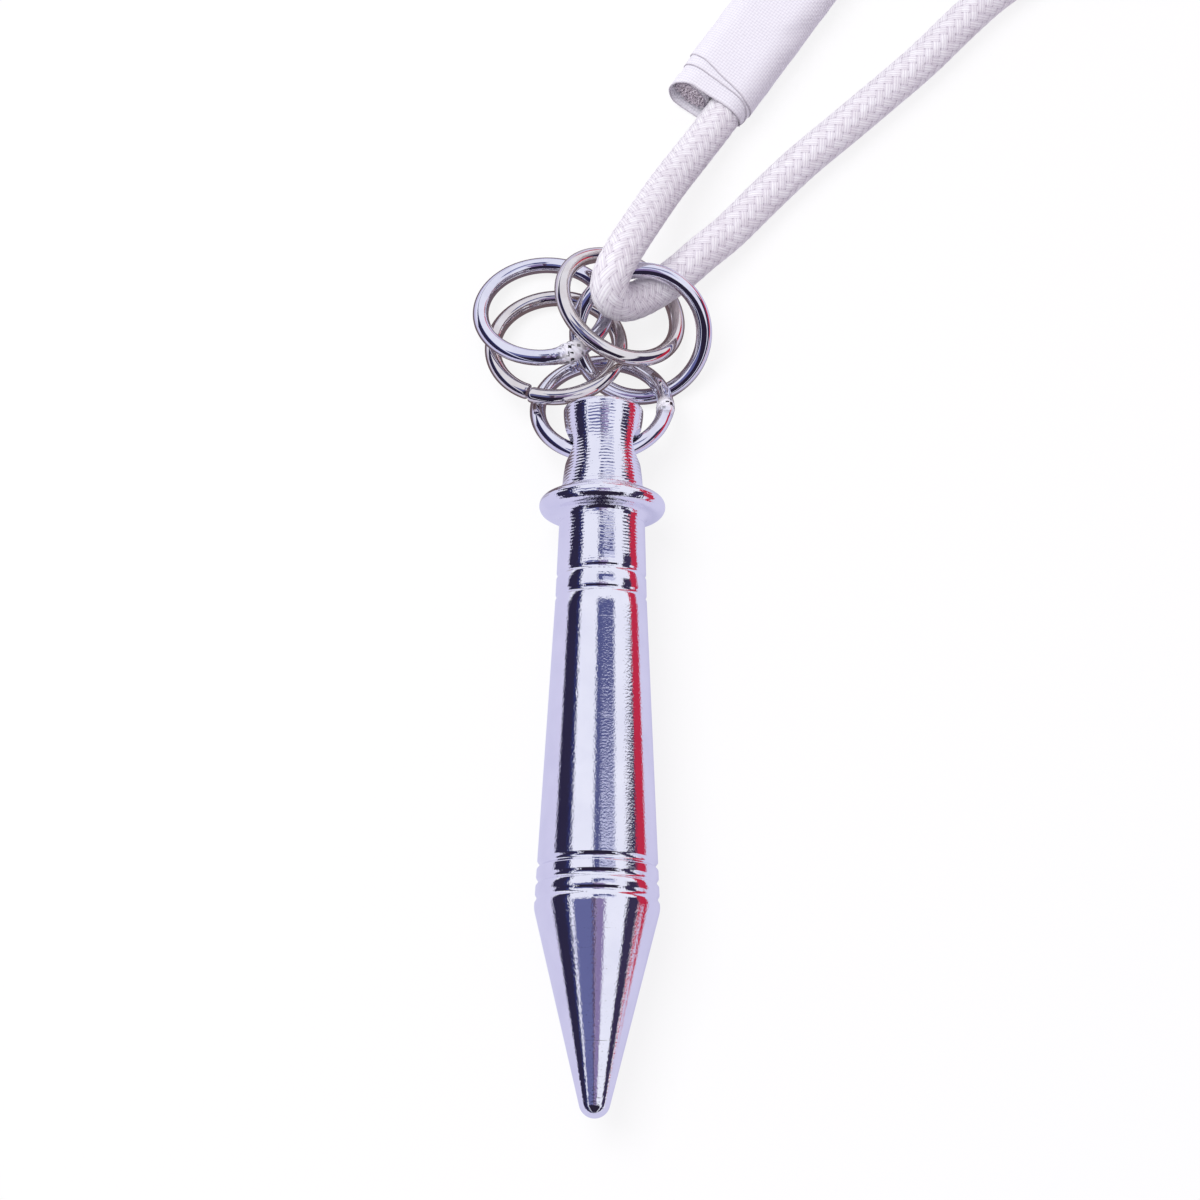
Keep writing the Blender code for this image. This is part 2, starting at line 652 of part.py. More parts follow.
def main():
    wipe_scene()
    chrome = material("polished_chrome", (0.86, 0.86, 0.9), 1.0, 0.07)
    wire = material("nickel_plated_wire", (0.82, 0.81, 0.8), 1.0, 0.12)
    cotton = material("braided_cotton", (0.84, 0.82, 0.84), 0.0, 0.9)
    tape = material("cotton_tape", (0.9, 0.89, 0.91), 0.0, 0.85)

    front, coil, tail = front_line(), coil_line(), tail_line()
    rings = settle_rings(front)
    root = add_object("pendant", None, None)
    build_tube("cord_front", trimmed(front, end=CLEARANCE), 3, cotton, root)
    build_tube("cord_coil", trimmed(coil, CLEARANCE, CLEARANCE), 1, cotton, root)
    build_tube("cord_tail", trimmed(tail, start=CLEARANCE), 3, cotton, root)
    build_binding(tape, root)
    build_tie(tape, root)

    places = hang_axis(rings["hub_ring"], front)
    pivot = add_object("hub_pivot", None, None, root)
    pivot.location = Vector((places[0] + places[1]) / 2)
    wires = {name: build_ring(name, ring, wire) for name, ring in rings.items()}
    for obj in wires.values():
        hang(obj, pivot)

    hole = cross_hole(rings["neck_ring"])
    head, drill = build_head(chrome)
    for obj in (head, drill):
        obj.location = hole
        obj.rotation_euler = (-math.pi / 2 + head_tilt(), 0, 0)
        hang(obj, wires["neck_ring"])

    middle = bottom_centre(rings, hole)
    root.location = -middle
    print("cord length %.1f mm" % ((line_length(front) + line_length(coil) + line_length(tail)) / MM))
    print("coil's least gap to itself %.2f mm" % (least_gap(coil, CORD_DIAMETER) / MM))
    across = Vector(places[1] - places[0]).normalized()
    axes = {"hub_ring": (pivot.location, -across), "head": (hole, Vector((-1, 0, 0)))}
    for name in rings:
        if name != "hub_ring":
            axes[name] = (Vector(rings[name]["centre"]), Vector(rings[name]["normal"]))
    for name, (place, axis) in axes.items():
        print("axis of %s: at (%.5f, %.5f, %.5f) m along (%.4f, %.4f, %.4f)" % (name, *(place - middle), *axis))


main()
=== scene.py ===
import json
import math

import bmesh
import bpy
import numpy as np
from mathutils import Matrix, Vector


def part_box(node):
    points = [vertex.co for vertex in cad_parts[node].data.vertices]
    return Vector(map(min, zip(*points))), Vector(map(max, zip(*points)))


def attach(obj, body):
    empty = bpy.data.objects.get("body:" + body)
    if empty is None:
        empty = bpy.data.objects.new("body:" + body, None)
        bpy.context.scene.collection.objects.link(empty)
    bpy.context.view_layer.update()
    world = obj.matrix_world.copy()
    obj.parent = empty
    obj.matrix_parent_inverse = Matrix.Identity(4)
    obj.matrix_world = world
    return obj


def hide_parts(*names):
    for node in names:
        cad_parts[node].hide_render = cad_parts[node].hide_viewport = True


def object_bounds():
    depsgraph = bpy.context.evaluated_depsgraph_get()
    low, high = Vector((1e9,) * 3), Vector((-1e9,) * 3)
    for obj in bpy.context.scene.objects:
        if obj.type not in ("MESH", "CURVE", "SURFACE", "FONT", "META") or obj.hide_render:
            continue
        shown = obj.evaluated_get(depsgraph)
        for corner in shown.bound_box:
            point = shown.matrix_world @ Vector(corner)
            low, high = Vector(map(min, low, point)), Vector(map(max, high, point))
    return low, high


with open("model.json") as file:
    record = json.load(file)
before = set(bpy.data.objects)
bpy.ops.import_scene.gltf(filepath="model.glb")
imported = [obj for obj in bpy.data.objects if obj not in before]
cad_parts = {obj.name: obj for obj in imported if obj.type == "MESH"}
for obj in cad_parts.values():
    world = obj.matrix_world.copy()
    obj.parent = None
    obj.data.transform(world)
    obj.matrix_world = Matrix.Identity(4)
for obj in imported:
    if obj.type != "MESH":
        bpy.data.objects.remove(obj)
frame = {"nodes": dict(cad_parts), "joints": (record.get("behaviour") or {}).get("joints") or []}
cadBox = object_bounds()
mm = 0.001
print("frame loaded:", len(frame["nodes"]), "solids")


def hexColour(text):
    # sRGB hex to linear
    channels = [int(text[i:i + 2], 16) / 255 for i in (1, 3, 5)]
    return tuple(c / 12.92 if c <= 0.04045 else ((c + 0.055) / 1.055) ** 2.4 for c in channels) + (1.0,)


def setNode(node, settings=None, links=None):
    # settings name ramp stops, a span to map, node properties or socket values; links name an input and
    # what feeds it, where a node stands for its first output
    for key, value in (settings or {}).items():
        if key == "span":
            for name, number in zip(("From Min", "From Max", "To Min", "To Max"), value):
                node.inputs[name].default_value = number
        elif key == "stops":
            ramp = node.color_ramp.elements
            while len(ramp) < len(value):
                ramp.new(1.0)
            for element, (place, colour) in zip(ramp, value):
                element.position = place
                element.color = hexColour(colour)
        elif isinstance(key, str) and hasattr(node, key):
            setattr(node, key, value)
        else:
            node.inputs[key].default_value = value
    for key, source in (links or {}).items():
        socket = source.outputs[0] if isinstance(source, bpy.types.Node) else source
        node.id_data.links.new(socket, node.inputs[key])
    return node


def addNode(tree, kind, settings=None, links=None):
    return setNode(tree.nodes.new("ShaderNode" + kind), settings, links)


def newObject(name, data):
    made = bpy.data.objects.new(name, data)
    bpy.context.scene.collection.objects.link(made)
    return made


def newMaterial(name):
    made = bpy.data.materials.new(name)
    made.use_nodes = True
    return made, made.node_tree, made.node_tree.nodes["Principled BSDF"]


def meshPiece(name, points, faces, material, body, smoothAngle, uvs=None, marks=None):
    mesh = bpy.data.meshes.new(name)
    mesh.from_pydata(np.asarray(points).tolist(), [], faces)
    mesh.shade_smooth()
    mesh.set_sharp_from_angle(angle=math.radians(smoothAngle))
    for key, values in (marks or {}).items():
        layer = mesh.attributes.new(key, "FLOAT", "POINT")
        layer.data.foreach_set("value", np.asarray(values, np.float32))
    if uvs is not None:
        layer = mesh.uv_layers.new(name="UVMap")
        layer.data.foreach_set("uv", np.asarray(uvs, np.float32).ravel())
    mesh.materials.append(material)
    piece = newObject(name, mesh)
    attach(piece, body)
    return piece


def tubeFaces(rings, sides, ends, base=0):
    # quads from ring to ring of points, with ends "capped", "open" or "joined" into a loop
    faces = []
    for i in range(rings if ends == "joined" else rings - 1):
        here, there = base + i * sides, base + (i + 1) % rings * sides
        for k in range(sides):
            m = (k + 1) % sides
            faces.append([here + k, there + k, there + m, here + m])
    if ends == "capped":
        last = base + (rings - 1) * sides
        faces += [list(range(base, base + sides)), list(range(last, last + sides))[::-1]]
    return faces


def sheetFaces(columns, rows, uvAt):
    # faces and UVs of a thin sheet: an inner and an outer grid of points, joined round the rim
    side = (columns + 1) * (rows + 1)
    faces, uvs = [], []

    def addFace(corners):
        # a corner is its layer, column and row
        faces.append([layer * side + c * (rows + 1) + r for layer, c, r in corners])
        uvs.extend(uvAt(c, r) for layer, c, r in corners)

    for c in range(columns):
        for r in range(rows):
            loop = [(c, r), (c + 1, r), (c + 1, r + 1), (c, r + 1)]
            addFace([(0, *p) for p in loop])
            addFace([(1, *p) for p in loop[::-1]])
    rim = [(c, 0) for c in range(columns)] + [(columns, r) for r in range(rows)]
    rim += [(c, rows) for c in range(columns, 0, -1)] + [(0, r) for r in range(rows, 0, -1)]
    for p, q in zip(rim, rim[1:] + rim[:1]):
        addFace([(0, *q), (0, *p), (1, *p), (1, *q)])
    return faces, uvs


# Camera: a 90 mm lens, 74 degrees above the floor
cameraSpec = {"lens": 90.0, "elevation": 73.6, "away": 455 * mm, "roll": -0.75,
              "target": (1.8 * mm, 8.9 * mm, 10 * mm)}


def makeCamera(spec):
    data = bpy.data.cameras.new("photoCamera")
    data.lens, data.sensor_width = spec["lens"], 36.0
    data.clip_start, data.clip_end = 0.01, 20
    camera = newObject("photoCamera", data)
    tilt, roll = math.radians(spec["elevation"]), math.radians(spec["roll"])
    forward = Vector((0, math.cos(tilt), -math.sin(tilt)))
    right = Vector((1, 0, 0))
    up = right.cross(forward)
    across = right * math.cos(roll) - up * math.sin(roll)
    upward = up * math.cos(roll) + right * math.sin(roll)
    turn = Matrix((across, upward, -forward)).transposed().to_4x4()
    turn.translation = Vector(spec["target"]) - forward * spec["away"]
    camera.matrix_world = turn
    bpy.context.scene.camera = camera


makeCamera(cameraSpec)


# Cord route, as the solids have it: millimetres from the head's axis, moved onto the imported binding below
bindingSpec = {"mouth": (15.7, 85.9, 0), "heading": (0.56, 0.83, 0), "length": 36.0, "clear": 0.3,
               "wall": 0.45, "recess": 2.5, "mouthRecess": 0.15}
cordSpec = {"diameter": 6.0, "strandsEachWay": 10, "layAngle": 46, "around": 80, "step": 0.33, "ease": 1.5,
            "sharp": 60,
            # height of a leaf's crown, its curve across and along, and how much of it is left where it dips
            "crown": 0.14, "crownCurve": 2.4, "riseCurve": 0.7, "dip": 0.3, "sunk": 0.8, "lumps": 0.1,
            "yarnsPerStrand": 3, "wander": 0.22,
            # noise is counted over the cord's box, whose long side is about 135 mm
            "boxSide": 135.0, "fray": 0.09, "soil": 1.93, "fibre": 0.0225}
cottonSheen = {"Specular IOR Level": 0.2, "Sheen Weight": 0.2, "Sheen Roughness": 0.5}
frontRoute = [
    (16.9, 81.9, 4.0), (13.3, 76.2, 5.5), (9.3, 69.4, 8.3), (5.8, 62.3, 11.9), (2.9, 56.2, 14.9),
    (1.1, 52.3, 15.9), (0.1, 49.7, 15.3), (0.6, 48.2, 13.0), (2.8, 48.7, 9.9), (5.6, 50.8, 7.3),
    (8.5, 53.3, 5.8), (11.5, 55.8, 5.3), (15.1, 59.6, 4.5), (19.0, 63.4, 3.4), (24.8, 69.8, 3.0),
    (31.2, 76.4, 3.0), (37.7, 82.3, 3.0), (44.3, 88.4, 3.0), (50.9, 94.6, 3.0), (57.6, 101.7, 3.0),
    (63.8, 107.6, 3.0), (72.0, 113.0, 3.0),
]
tailRoute = [(40.0, 147.2, 9.0), (38.9, 137.2, 6.6), (38.3, 128.3, 4.4)]
coilSpec = {"centre": (75, 148, 0), "start": -75, "radius": 32.0, "step": 6.6, "turns": 2, "tail": 1 / 6,
            "points": 96, "gap": 0.45, "tieAngle": 225, "tieWidth": 5.0, "tieThickness": 0.6,
            "liftReach": 0.7}

heading = np.array(bindingSpec["heading"]) / np.linalg.norm(bindingSpec["heading"])
sideways = np.array((heading[1], -heading[0], 0))
bindingMiddle = np.array(bindingSpec["mouth"]) + heading * bindingSpec["length"] / 2
low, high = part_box("tape_binding")
shift = np.array((low + high) / 2) / mm - bindingMiddle
shift[2] = 0
cordRadius = cordSpec["diameter"] / 2
cordsApart = (cordSpec["diameter"] + bindingSpec["clear"]) / 2
boundHeight = cordRadius + bindingSpec["clear"] + bindingSpec["wall"]
coilClimb = cordSpec["diameter"] + coilSpec["gap"]


def inBinding(along, side):
    place = np.array(bindingSpec["mouth"]) + heading * along + sideways * cordsApart * side
    return np.array((place[0], place[1], boundHeight))


def smoothLine(route, step):
    # centripetal Catmull-Rom through the route's points, evened out by length
    route = np.array(route, float)
    knots = np.vstack([2 * route[0] - route[1], route, 2 * route[-1] - route[-2]])
    fine = []
    for i in range(1, len(knots) - 2):
        p0, p1, p2, p3 = knots[i - 1:i + 3]
        d0, d1, d2 = (math.sqrt(np.linalg.norm(b - a)) for a, b in ((p0, p1), (p1, p2), (p2, p3)))
        m1 = (p1 - p0) / d0 - (p2 - p0) / (d0 + d1) + (p2 - p1) / d1
        m2 = (p2 - p1) / d1 - (p3 - p1) / (d1 + d2) + (p3 - p2) / d2
        for t in np.linspace(0, 1, 40, endpoint=False):
            h1, h2 = 2 * t ** 3 - 3 * t ** 2 + 1, t ** 3 - 2 * t ** 2 + t
            h3, h4 = -2 * t ** 3 + 3 * t ** 2, t ** 3 - t ** 2
            fine.append(h1 * p1 + h2 * m1 * d1 + h3 * p2 + h4 * m2 * d1)
    return evenLine(np.array(fine + [route[-1]]), step)


def runLength(line):
    return np.concatenate([[0], np.cumsum(np.linalg.norm(np.diff(line, axis=0), axis=1))])


def evenLine(fine, step):
    along = runLength(fine)
    even = np.linspace(0, along[-1], max(2, round(along[-1] / step) + 1))
    return np.stack([np.interp(even, along, fine[:, k]) for k in range(3)], axis=1)


def coilLift(angle):
    # the turns rise over the tie that passes under them
    off = math.remainder(angle - math.radians(coilSpec["tieAngle"]), 2 * math.pi)
    return (coilSpec["tieThickness"] + coilSpec["gap"]) * math.exp(-((off / coilSpec["liftReach"]) ** 2))


def coilLine(spec):
    turns, inner = spec["turns"], spec["radius"] - spec["turns"] * spec["step"]
    line = []
    for i in range(round((2 * turns + 0.5 + spec["tail"]) * spec["points"]) + 1):
        turn = i / spec["points"]
        height = cordRadius
        if turn < turns:
            radius = spec["radius"] - spec["step"] * turn
        elif turn < turns + 0.5:
            part = (turn - turns) * 2
            radius = inner - spec["step"] / 2 * math.sin(math.pi * part)
            height += coilClimb * (1 - math.cos(math.pi * part)) / 2
        else:
            radius = inner + spec["step"] * (turn - turns - 0.5)
            height += coilClimb
        angle = math.radians(spec["start"]) + 2 * math.pi * turn
        height += coilLift(angle)
        line.append(np.array(spec["centre"]) + (radius * math.cos(angle), radius * math.sin(angle), height))
    return np.array(line)


def cordLine(spec):
    length, recess = bindingSpec["length"], bindingSpec["recess"]
    coil = coilLine(coilSpec)
    front = [inBinding(along, 1) for along in (length - recess, length / 2, 0)] + frontRoute + [coil[0]]
    tail = [coil[-1]] + tailRoute
    tail += [inBinding(along, -1) for along in (length + cordRadius, length / 2, bindingSpec["mouthRecess"])]
    whole = np.vstack([smoothLine(front, 0.5)[:-1], coil[:-1], smoothLine(tail, 0.5)])
    whole = evenLine(whole, spec["step"])
    reach = round(spec["ease"] / spec["step"])      # takes the corners out where the three runs meet
    weights = np.exp(-0.5 * (np.arange(-3 * reach, 3 * reach + 1) / reach) ** 2)
    weights /= weights.sum()
    padded = np.vstack([whole[:1]] * (3 * reach) + [whole] + [whole[-1:]] * (3 * reach))
    soft = np.stack([np.convolve(padded[:, k], weights, "valid") for k in range(3)], axis=1)
    order = np.arange(len(whole))
    ends = np.clip(np.minimum(order, order[::-1]) / (6 * reach), 0, 1)[:, None]
    return evenLine(whole * (1 - ends) + soft * ends, spec["step"]) + shift


def carriedFrames(line):
    # directions across a line that turn with it and never twist
    along = np.gradient(line, axis=0)
    along /= np.linalg.norm(along, axis=1)[:, None]
    first = np.zeros_like(line)
    start = np.cross(along[0], (0, 0, 1.0))
    first[0] = start / np.linalg.norm(start)
    for i in range(1, len(line)):
        carried = first[i - 1] - along[i] * (first[i - 1] @ along[i])
        first[i] = carried / np.linalg.norm(carried)
    return first, np.cross(along, first)


def braidedTube(line, spec):
    # two sets of strands, each over two and under two, so the crowns stand in columns along the cord
    first, second = carriedFrames(line)
    around, strands, count = spec["around"], spec["strandsEachWay"], len(line)
    run = runLength(line)
    pitch = strands * math.tan(math.radians(spec["layAngle"])) / (2 * math.pi * cordRadius)
    turn = np.arange(around) / around
    u = turn[None] * strands + run[:, None] * pitch
    v = turn[None] * strands - run[:, None] * pitch
    a, b = u - np.floor(u), v - np.floor(v)
    column = np.mod(np.floor(u) + np.floor(v), 4)
    over = column < 2
    across = np.where(over, a, b)
    onward = np.where(over, column + b, column - 2 + a) / 2
    crown = np.sqrt(np.clip(1 - np.abs(2 * across - 1) ** spec["crownCurve"], 0, 1))
    rise = np.sin(math.pi * np.clip(onward, 0, 1)) ** spec["riseCurve"]
    height = crown * (spec["dip"] + (1 - spec["dip"]) * rise)
    lump = 1 + spec["lumps"] * (np.sin(run * 0.21) * np.sin(run * 0.083 + 1))[:, None]
    reach = cordRadius - spec["crown"] * spec["sunk"] + spec["crown"] * height * lump
    angle = 2 * math.pi * turn
    spoke = np.cos(angle)[None, :, None] * first[:, None] + np.sin(angle)[None, :, None] * second[:, None]
    points = (line[:, None] + spoke * reach[..., None]).reshape(-1, 3) * mm
    row, col = np.meshgrid(np.arange(count - 1), np.arange(around), indexing="ij")
    su = np.stack([col + 1, col + 1, col, col], axis=-1).ravel() / around * strands
    sv = np.stack([run[row], run[row + 1], run[row + 1], run[row]], axis=-1).ravel() * pitch
    uvs = np.vstack([np.stack([su, sv], axis=1), np.zeros((2 * around, 2))])
    return points, [face[::-1] for face in tubeFaces(count, around, "capped")], uvs


def cottonBraid(spec):
    # braided cotton: matt yarn in flat leaves, off-white; the grey in the dips where a leaf goes under, at
    # the leaf corners and between the yarns is painted shade
    made, tree, shader = newMaterial("braidedCotton")
    uv = addNode(tree, "UVMap", {"uv_map": "UVMap"})
    parts = addNode(tree, "SeparateXYZ", links={0: uv})
    strands, shares = [], []
    for way in ("ADD", "SUBTRACT"):
        lay = addNode(tree, "Math", {"operation": way}, {0: parts.outputs[0], 1: parts.outputs[1]})
        strands.append(addNode(tree, "Math", {"operation": "FLOOR"}, {0: lay}))
        shares.append(addNode(tree, "Math", {"operation": "FRACT"}, {0: lay}))
    crossing = addNode(tree, "Math", {"operation": "ADD"}, {0: strands[0], 1: strands[1]})
    column = addNode(tree, "Math", {"operation": "FLOORED_MODULO", 1: 4.0}, {0: crossing})
    over = addNode(tree, "Math", {"operation": "LESS_THAN", 1: 1.5}, {0: column})
    across, onward, strand = (addNode(tree, "Mix", {"data_type": "FLOAT"}, {0: over, 2: under, 3: above})
                              for under, above in (shares[::-1], shares, strands[::-1]))
    travel = addNode(tree, "Math", {"operation": "ADD"}, {0: column, 1: onward})
    along = addNode(tree, "Math", {"operation": "FLOORED_MODULO", 1: 2.0}, {0: travel})
    fromMiddle = addNode(tree, "Math", {"operation": "SUBTRACT", 1: 1.0}, {0: along})
    leafEnd = addNode(tree, "Math", {"operation": "ABSOLUTE"}, {0: fromMiddle})
    fromLine = addNode(tree, "Math", {"operation": "MULTIPLY_ADD", 1: 2.0, 2: -1.0}, {0: across})
    leafSide = addNode(tree, "Math", {"operation": "ABSOLUTE"}, {0: fromLine})
    corner = addNode(tree, "Math", {"operation": "MULTIPLY"}, {0: leafEnd, 1: leafSide})
    leafName = addNode(tree, "CombineXYZ", links={0: strand, 1: column})
    chance = addNode(tree, "TexWhiteNoise", {"noise_dimensions": "2D"}, {0: leafName})
    loose = addNode(tree, "TexNoise", {"Scale": spec["boxSide"] / spec["fray"], "Detail": 2.0})
    wander = addNode(tree, "Math", {"operation": "MULTIPLY_ADD", 1: spec["wander"]}, {0: loose, 2: across})
    # real yarns are finer, drawn coarser so that they show
    perLeaf = 2 * math.pi * spec["yarnsPerStrand"]
    turns = addNode(tree, "Math", {"operation": "MULTIPLY", 1: perLeaf}, {0: wander})
    wave = addNode(tree, "Math", {"operation": "SINE"}, {0: turns})
    yarn = addNode(tree, "MapRange", {"span": (-1.0, 1.0)}, {0: wave})
    soil = addNode(tree, "TexNoise", {"Scale": spec["boxSide"] / spec["soil"], "Detail": 4.0})
    colour = addNode(tree, "ValToRGB", {"stops": [(0.35, "#f4f3f6"), (0.6, "#f9f9fc")]}, {0: soil}).outputs[0]
    # painted shade: leaf sides, leaf ends, corners and yarn lines darken where the braid dips; the per-leaf
    # chance is the yarn's own tone
    for source, strength, stops in (
            (leafSide, 0.5, [(0.0, "#ffffff"), (0.84, "#fefdfe"), (0.97, "#e2dde4"), (1.0, "#d5ced8")]),
            (leafEnd, 0.6, [(0.0, "#ffffff"), (0.8, "#fefdfe"), (0.97, "#dcd6de"), (1.0, "#cdc5d0")]),
            (corner, 0.75, [(0.7, "#ffffff"), (0.88, "#c3bcc6"), (1.0, "#958c98")]),
            (chance, 0.8, [(0.0, "#f2eff2"), (0.6, "#fdfcfd"), (1.0, "#ffffff")]),
            (yarn, 0.7, [(0.0, "#d3ccd6"), (0.3, "#f9f7f9"), (1.0, "#ffffff")])):
        tint = addNode(tree, "ValToRGB", {"stops": stops}, {0: source})
        colour = addNode(tree, "Mix", {"data_type": "RGBA", "blend_type": "MULTIPLY", 0: strength},
                         {6: colour, 7: tint}).outputs[2]
    # loose fibre is finer than a pixel, and only dulls the yarn
    fuzz = addNode(tree, "TexNoise", {"Scale": spec["boxSide"] / spec["fibre"], "Detail": 2.0})
    relief = addNode(tree, "Math", {"operation": "MULTIPLY_ADD", 1: 0.6}, {0: fuzz, 2: yarn})
    bump = addNode(tree, "Bump", {"Strength": 0.5, "Distance": 0.1 * mm}, {"Height": relief})
    setNode(shader, {"Roughness": 0.9, **cottonSheen}, {"Base Color": colour, "Normal": bump})
    return made


cordPath = cordLine(cordSpec)
cordPoints, cordFaces, cordUvs = braidedTube(cordPath, cordSpec)
cord = meshPiece("braidedCord", cordPoints, cordFaces, cottonBraid(cordSpec), "cord_loop",
                 cordSpec["sharp"], cordUvs)
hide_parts("cord_front", "cord_coil", "cord_tail")


# Cut ends: short loose yarns that stand out of the cord's two ends, set round by the golden angle
cutSpec = {"yarns": 230, "long": (0.35, 1.0), "thick": 0.15, "spread": 2.65, "turn": 2.39996, "rooted": 0.25,
           "lean": 0.28, "curl": 0.25, "steps": 5, "sides": 5, "sharp": 60, "boxSide": 6.0, "grain": 0.00857}


def cutYarns(at, outward, spec, seed):
    chance = np.random.default_rng(seed)
    outward = outward / np.linalg.norm(outward)
    first = np.cross(outward, (0, 0, 1.0))
    first /= np.linalg.norm(first)
    second = np.cross(outward, first)
    steps, sides = spec["steps"], spec["sides"]
    points, faces = [], []

    def astray(amount):
        return first * chance.normal(0, amount) + second * chance.normal(0, amount)

    for k in range(spec["yarns"]):
        ring = spec["spread"] * math.sqrt((k + 0.5) / spec["yarns"])
        turn = k * spec["turn"]
        root = at + first * ring * math.cos(turn) + second * ring * math.sin(turn) - outward * spec["rooted"]
        lean = astray(spec["lean"])
        long = chance.uniform(*spec["long"]) * (1.15 - 0.35 * ring / spec["spread"])
        curl = astray(spec["curl"])
        faces += [face[::-1] for face in tubeFaces(steps, sides, "capped", len(points))]
        for t in np.linspace(0, 1, steps):
            middle = root + outward * long * t + lean * long * t + curl * t * t
            thick = spec["thick"] * (1.25 - 0.75 * t)
            for angle in np.arange(sides) * 2 * math.pi / sides:
                points.append((middle + thick * (first * math.cos(angle) + second * math.sin(angle))) * mm)
    return points, faces


def cutCotton(spec):
    # cut cotton ends: loose fibre, soiled where it was handled, in grains too fine to see singly
    made, tree, shader = newMaterial("cutCottonFibre")
    noise = addNode(tree, "TexNoise", {"Scale": spec["boxSide"] / spec["grain"], "Detail": 2.0})
    shade = addNode(tree, "ValToRGB", {"stops": [(0.36, "#8a7a78"), (0.46, "#cbc1cc"), (0.7, "#ebe5ec")]},
                    {0: noise})
    setNode(shader, {"Roughness": 0.95, "Specular IOR Level": 0.1}, {"Base Color": shade})
    return made


frayed = cutCotton(cutSpec)
for name, at, outward, seed in (("cutEndLower", cordPath[-1], cordPath[-1] - cordPath[-4], 4),
                                ("cutEndUpper", cordPath[0], cordPath[0] - cordPath[3], 9)):
    yarnPoints, yarnFaces = cutYarns(at, outward, cutSpec, seed)
    meshPiece(name, yarnPoints, yarnFaces, frayed, "cord_loop", cutSpec["sharp"])
print("cut ends frayed")


# Binding: one strip of tape rolled round the two cord ends, so its layers step back from the mouth
rollSpec = {"turns": 2.55, "layer": 0.19, "thick": 0.86, "bore": 3.16, "startAt": 0.12, "perTurn": 72,
            "rows": 60, "threadPitch": 0.46, "turnLength": 34.0, "uvUnit": 10.0, "farStep": 0.25,
            "ragged": 0.07, "seed": 11, "pucker": 0.035, "rawEdge": 0.009, "boxSide": 37.8, "slub": 0.09,
            "sharp": 50,
            # how far the tape's edge stands back from the mouth, by turns of the roll
            "edge": [(0.0, 0.2), (0.13, 0.1), (0.38, 0.2), (0.5, -1.0), (0.62, -1.45), (0.78, -1.3),
                     (0.9, -0.2), (1.0, 1.0), (1.13, 2.5), (1.38, 3.2), (1.7, 3.5), (2.0, 2.6), (2.13, 2.7),
                     (2.4, 4.9), (2.55, 5.6)],
            "dent": {"along": 18.0, "part": 0.25, "deep": 0.45, "long": 2.2, "wide": 0.07, "slant": 30}}


def stadiumPoint(part, straight, radius):
    # place and outward direction on two half circles joined by straights, part from 0 to 1
    half = math.pi * radius
    d = (part % 1.0) * (2 * half + 4 * straight)
    for middle, start, up in ((straight, -math.pi / 2, 1.0), (-straight, math.pi / 2, -1.0)):
        if d < half:
            angle = start + d / radius
            return (middle + radius * math.cos(angle), radius * math.sin(angle),
                    math.cos(angle), math.sin(angle))
        d -= half
        if d < 2 * straight:
            return middle - up * d, up * radius, 0.0, up
        d -= 2 * straight
    return straight, -radius, 0.0, -1.0


def rolledTape(spec):
    middle = np.array(bindingSpec["mouth"]) + shift
    middle[2] = boundHeight
    columns = round(spec["turns"] * spec["perTurn"])
    rows, length, dent = spec["rows"], bindingSpec["length"], spec["dent"]
    chance = np.random.default_rng(spec["seed"])
    raggedNear, raggedFar = (
        np.convolve(chance.normal(0, 1, columns + 9), np.ones(5) / 5, "valid")[:columns + 1] * spec["ragged"]
        for _ in range(2))
    rawEdge = spec["rawEdge"]
    shares = np.concatenate([[0, rawEdge / 3, rawEdge], np.linspace(0.02, 1, rows - 2)])
    points, raw = [], []
    for offset in (0.0, spec["layer"] * spec["thick"]):
        for c in range(columns + 1):
            turn = c / spec["perTurn"]
            radius = spec["bore"] + spec["layer"] * turn + offset
            x, z, nx, nz = stadiumPoint(spec["startAt"] + turn, cordsApart, radius)
            back = np.interp(turn, *zip(*spec["edge"])) + raggedNear[c]
            far = length + spec["farStep"] * turn + raggedFar[c]
            part = math.remainder(spec["startAt"] + turn - dent["part"], 1)
            for share in shares:
                w = back + (far - back) * share
                pucker = spec["pucker"] * math.sin(w * 1.1 + turn * 9) * math.sin(turn * 21 + w * 0.4)
                slant = w - dent["along"] + part * dent["slant"]
                pucker -= dent["deep"] * math.exp(-(slant / dent["long"]) ** 2 - (part / dent["wide"]) ** 2)
                raw.append(max(0.0, 1 - share / rawEdge))
                place = middle + heading * w + sideways * (x + nx * pucker)
                points.append((place + (0, 0, z + nz * pucker)) * mm)

    def uvAt(c, r):
        turn = c / spec["perTurn"]
        back = np.interp(turn, *zip(*spec["edge"]))
        across = back + (length - back) * shares[r]
        return turn * spec["turnLength"] / spec["uvUnit"], across / spec["uvUnit"]

    return points, *sheetFaces(columns, rows, uvAt), {"rawEdge": raw}


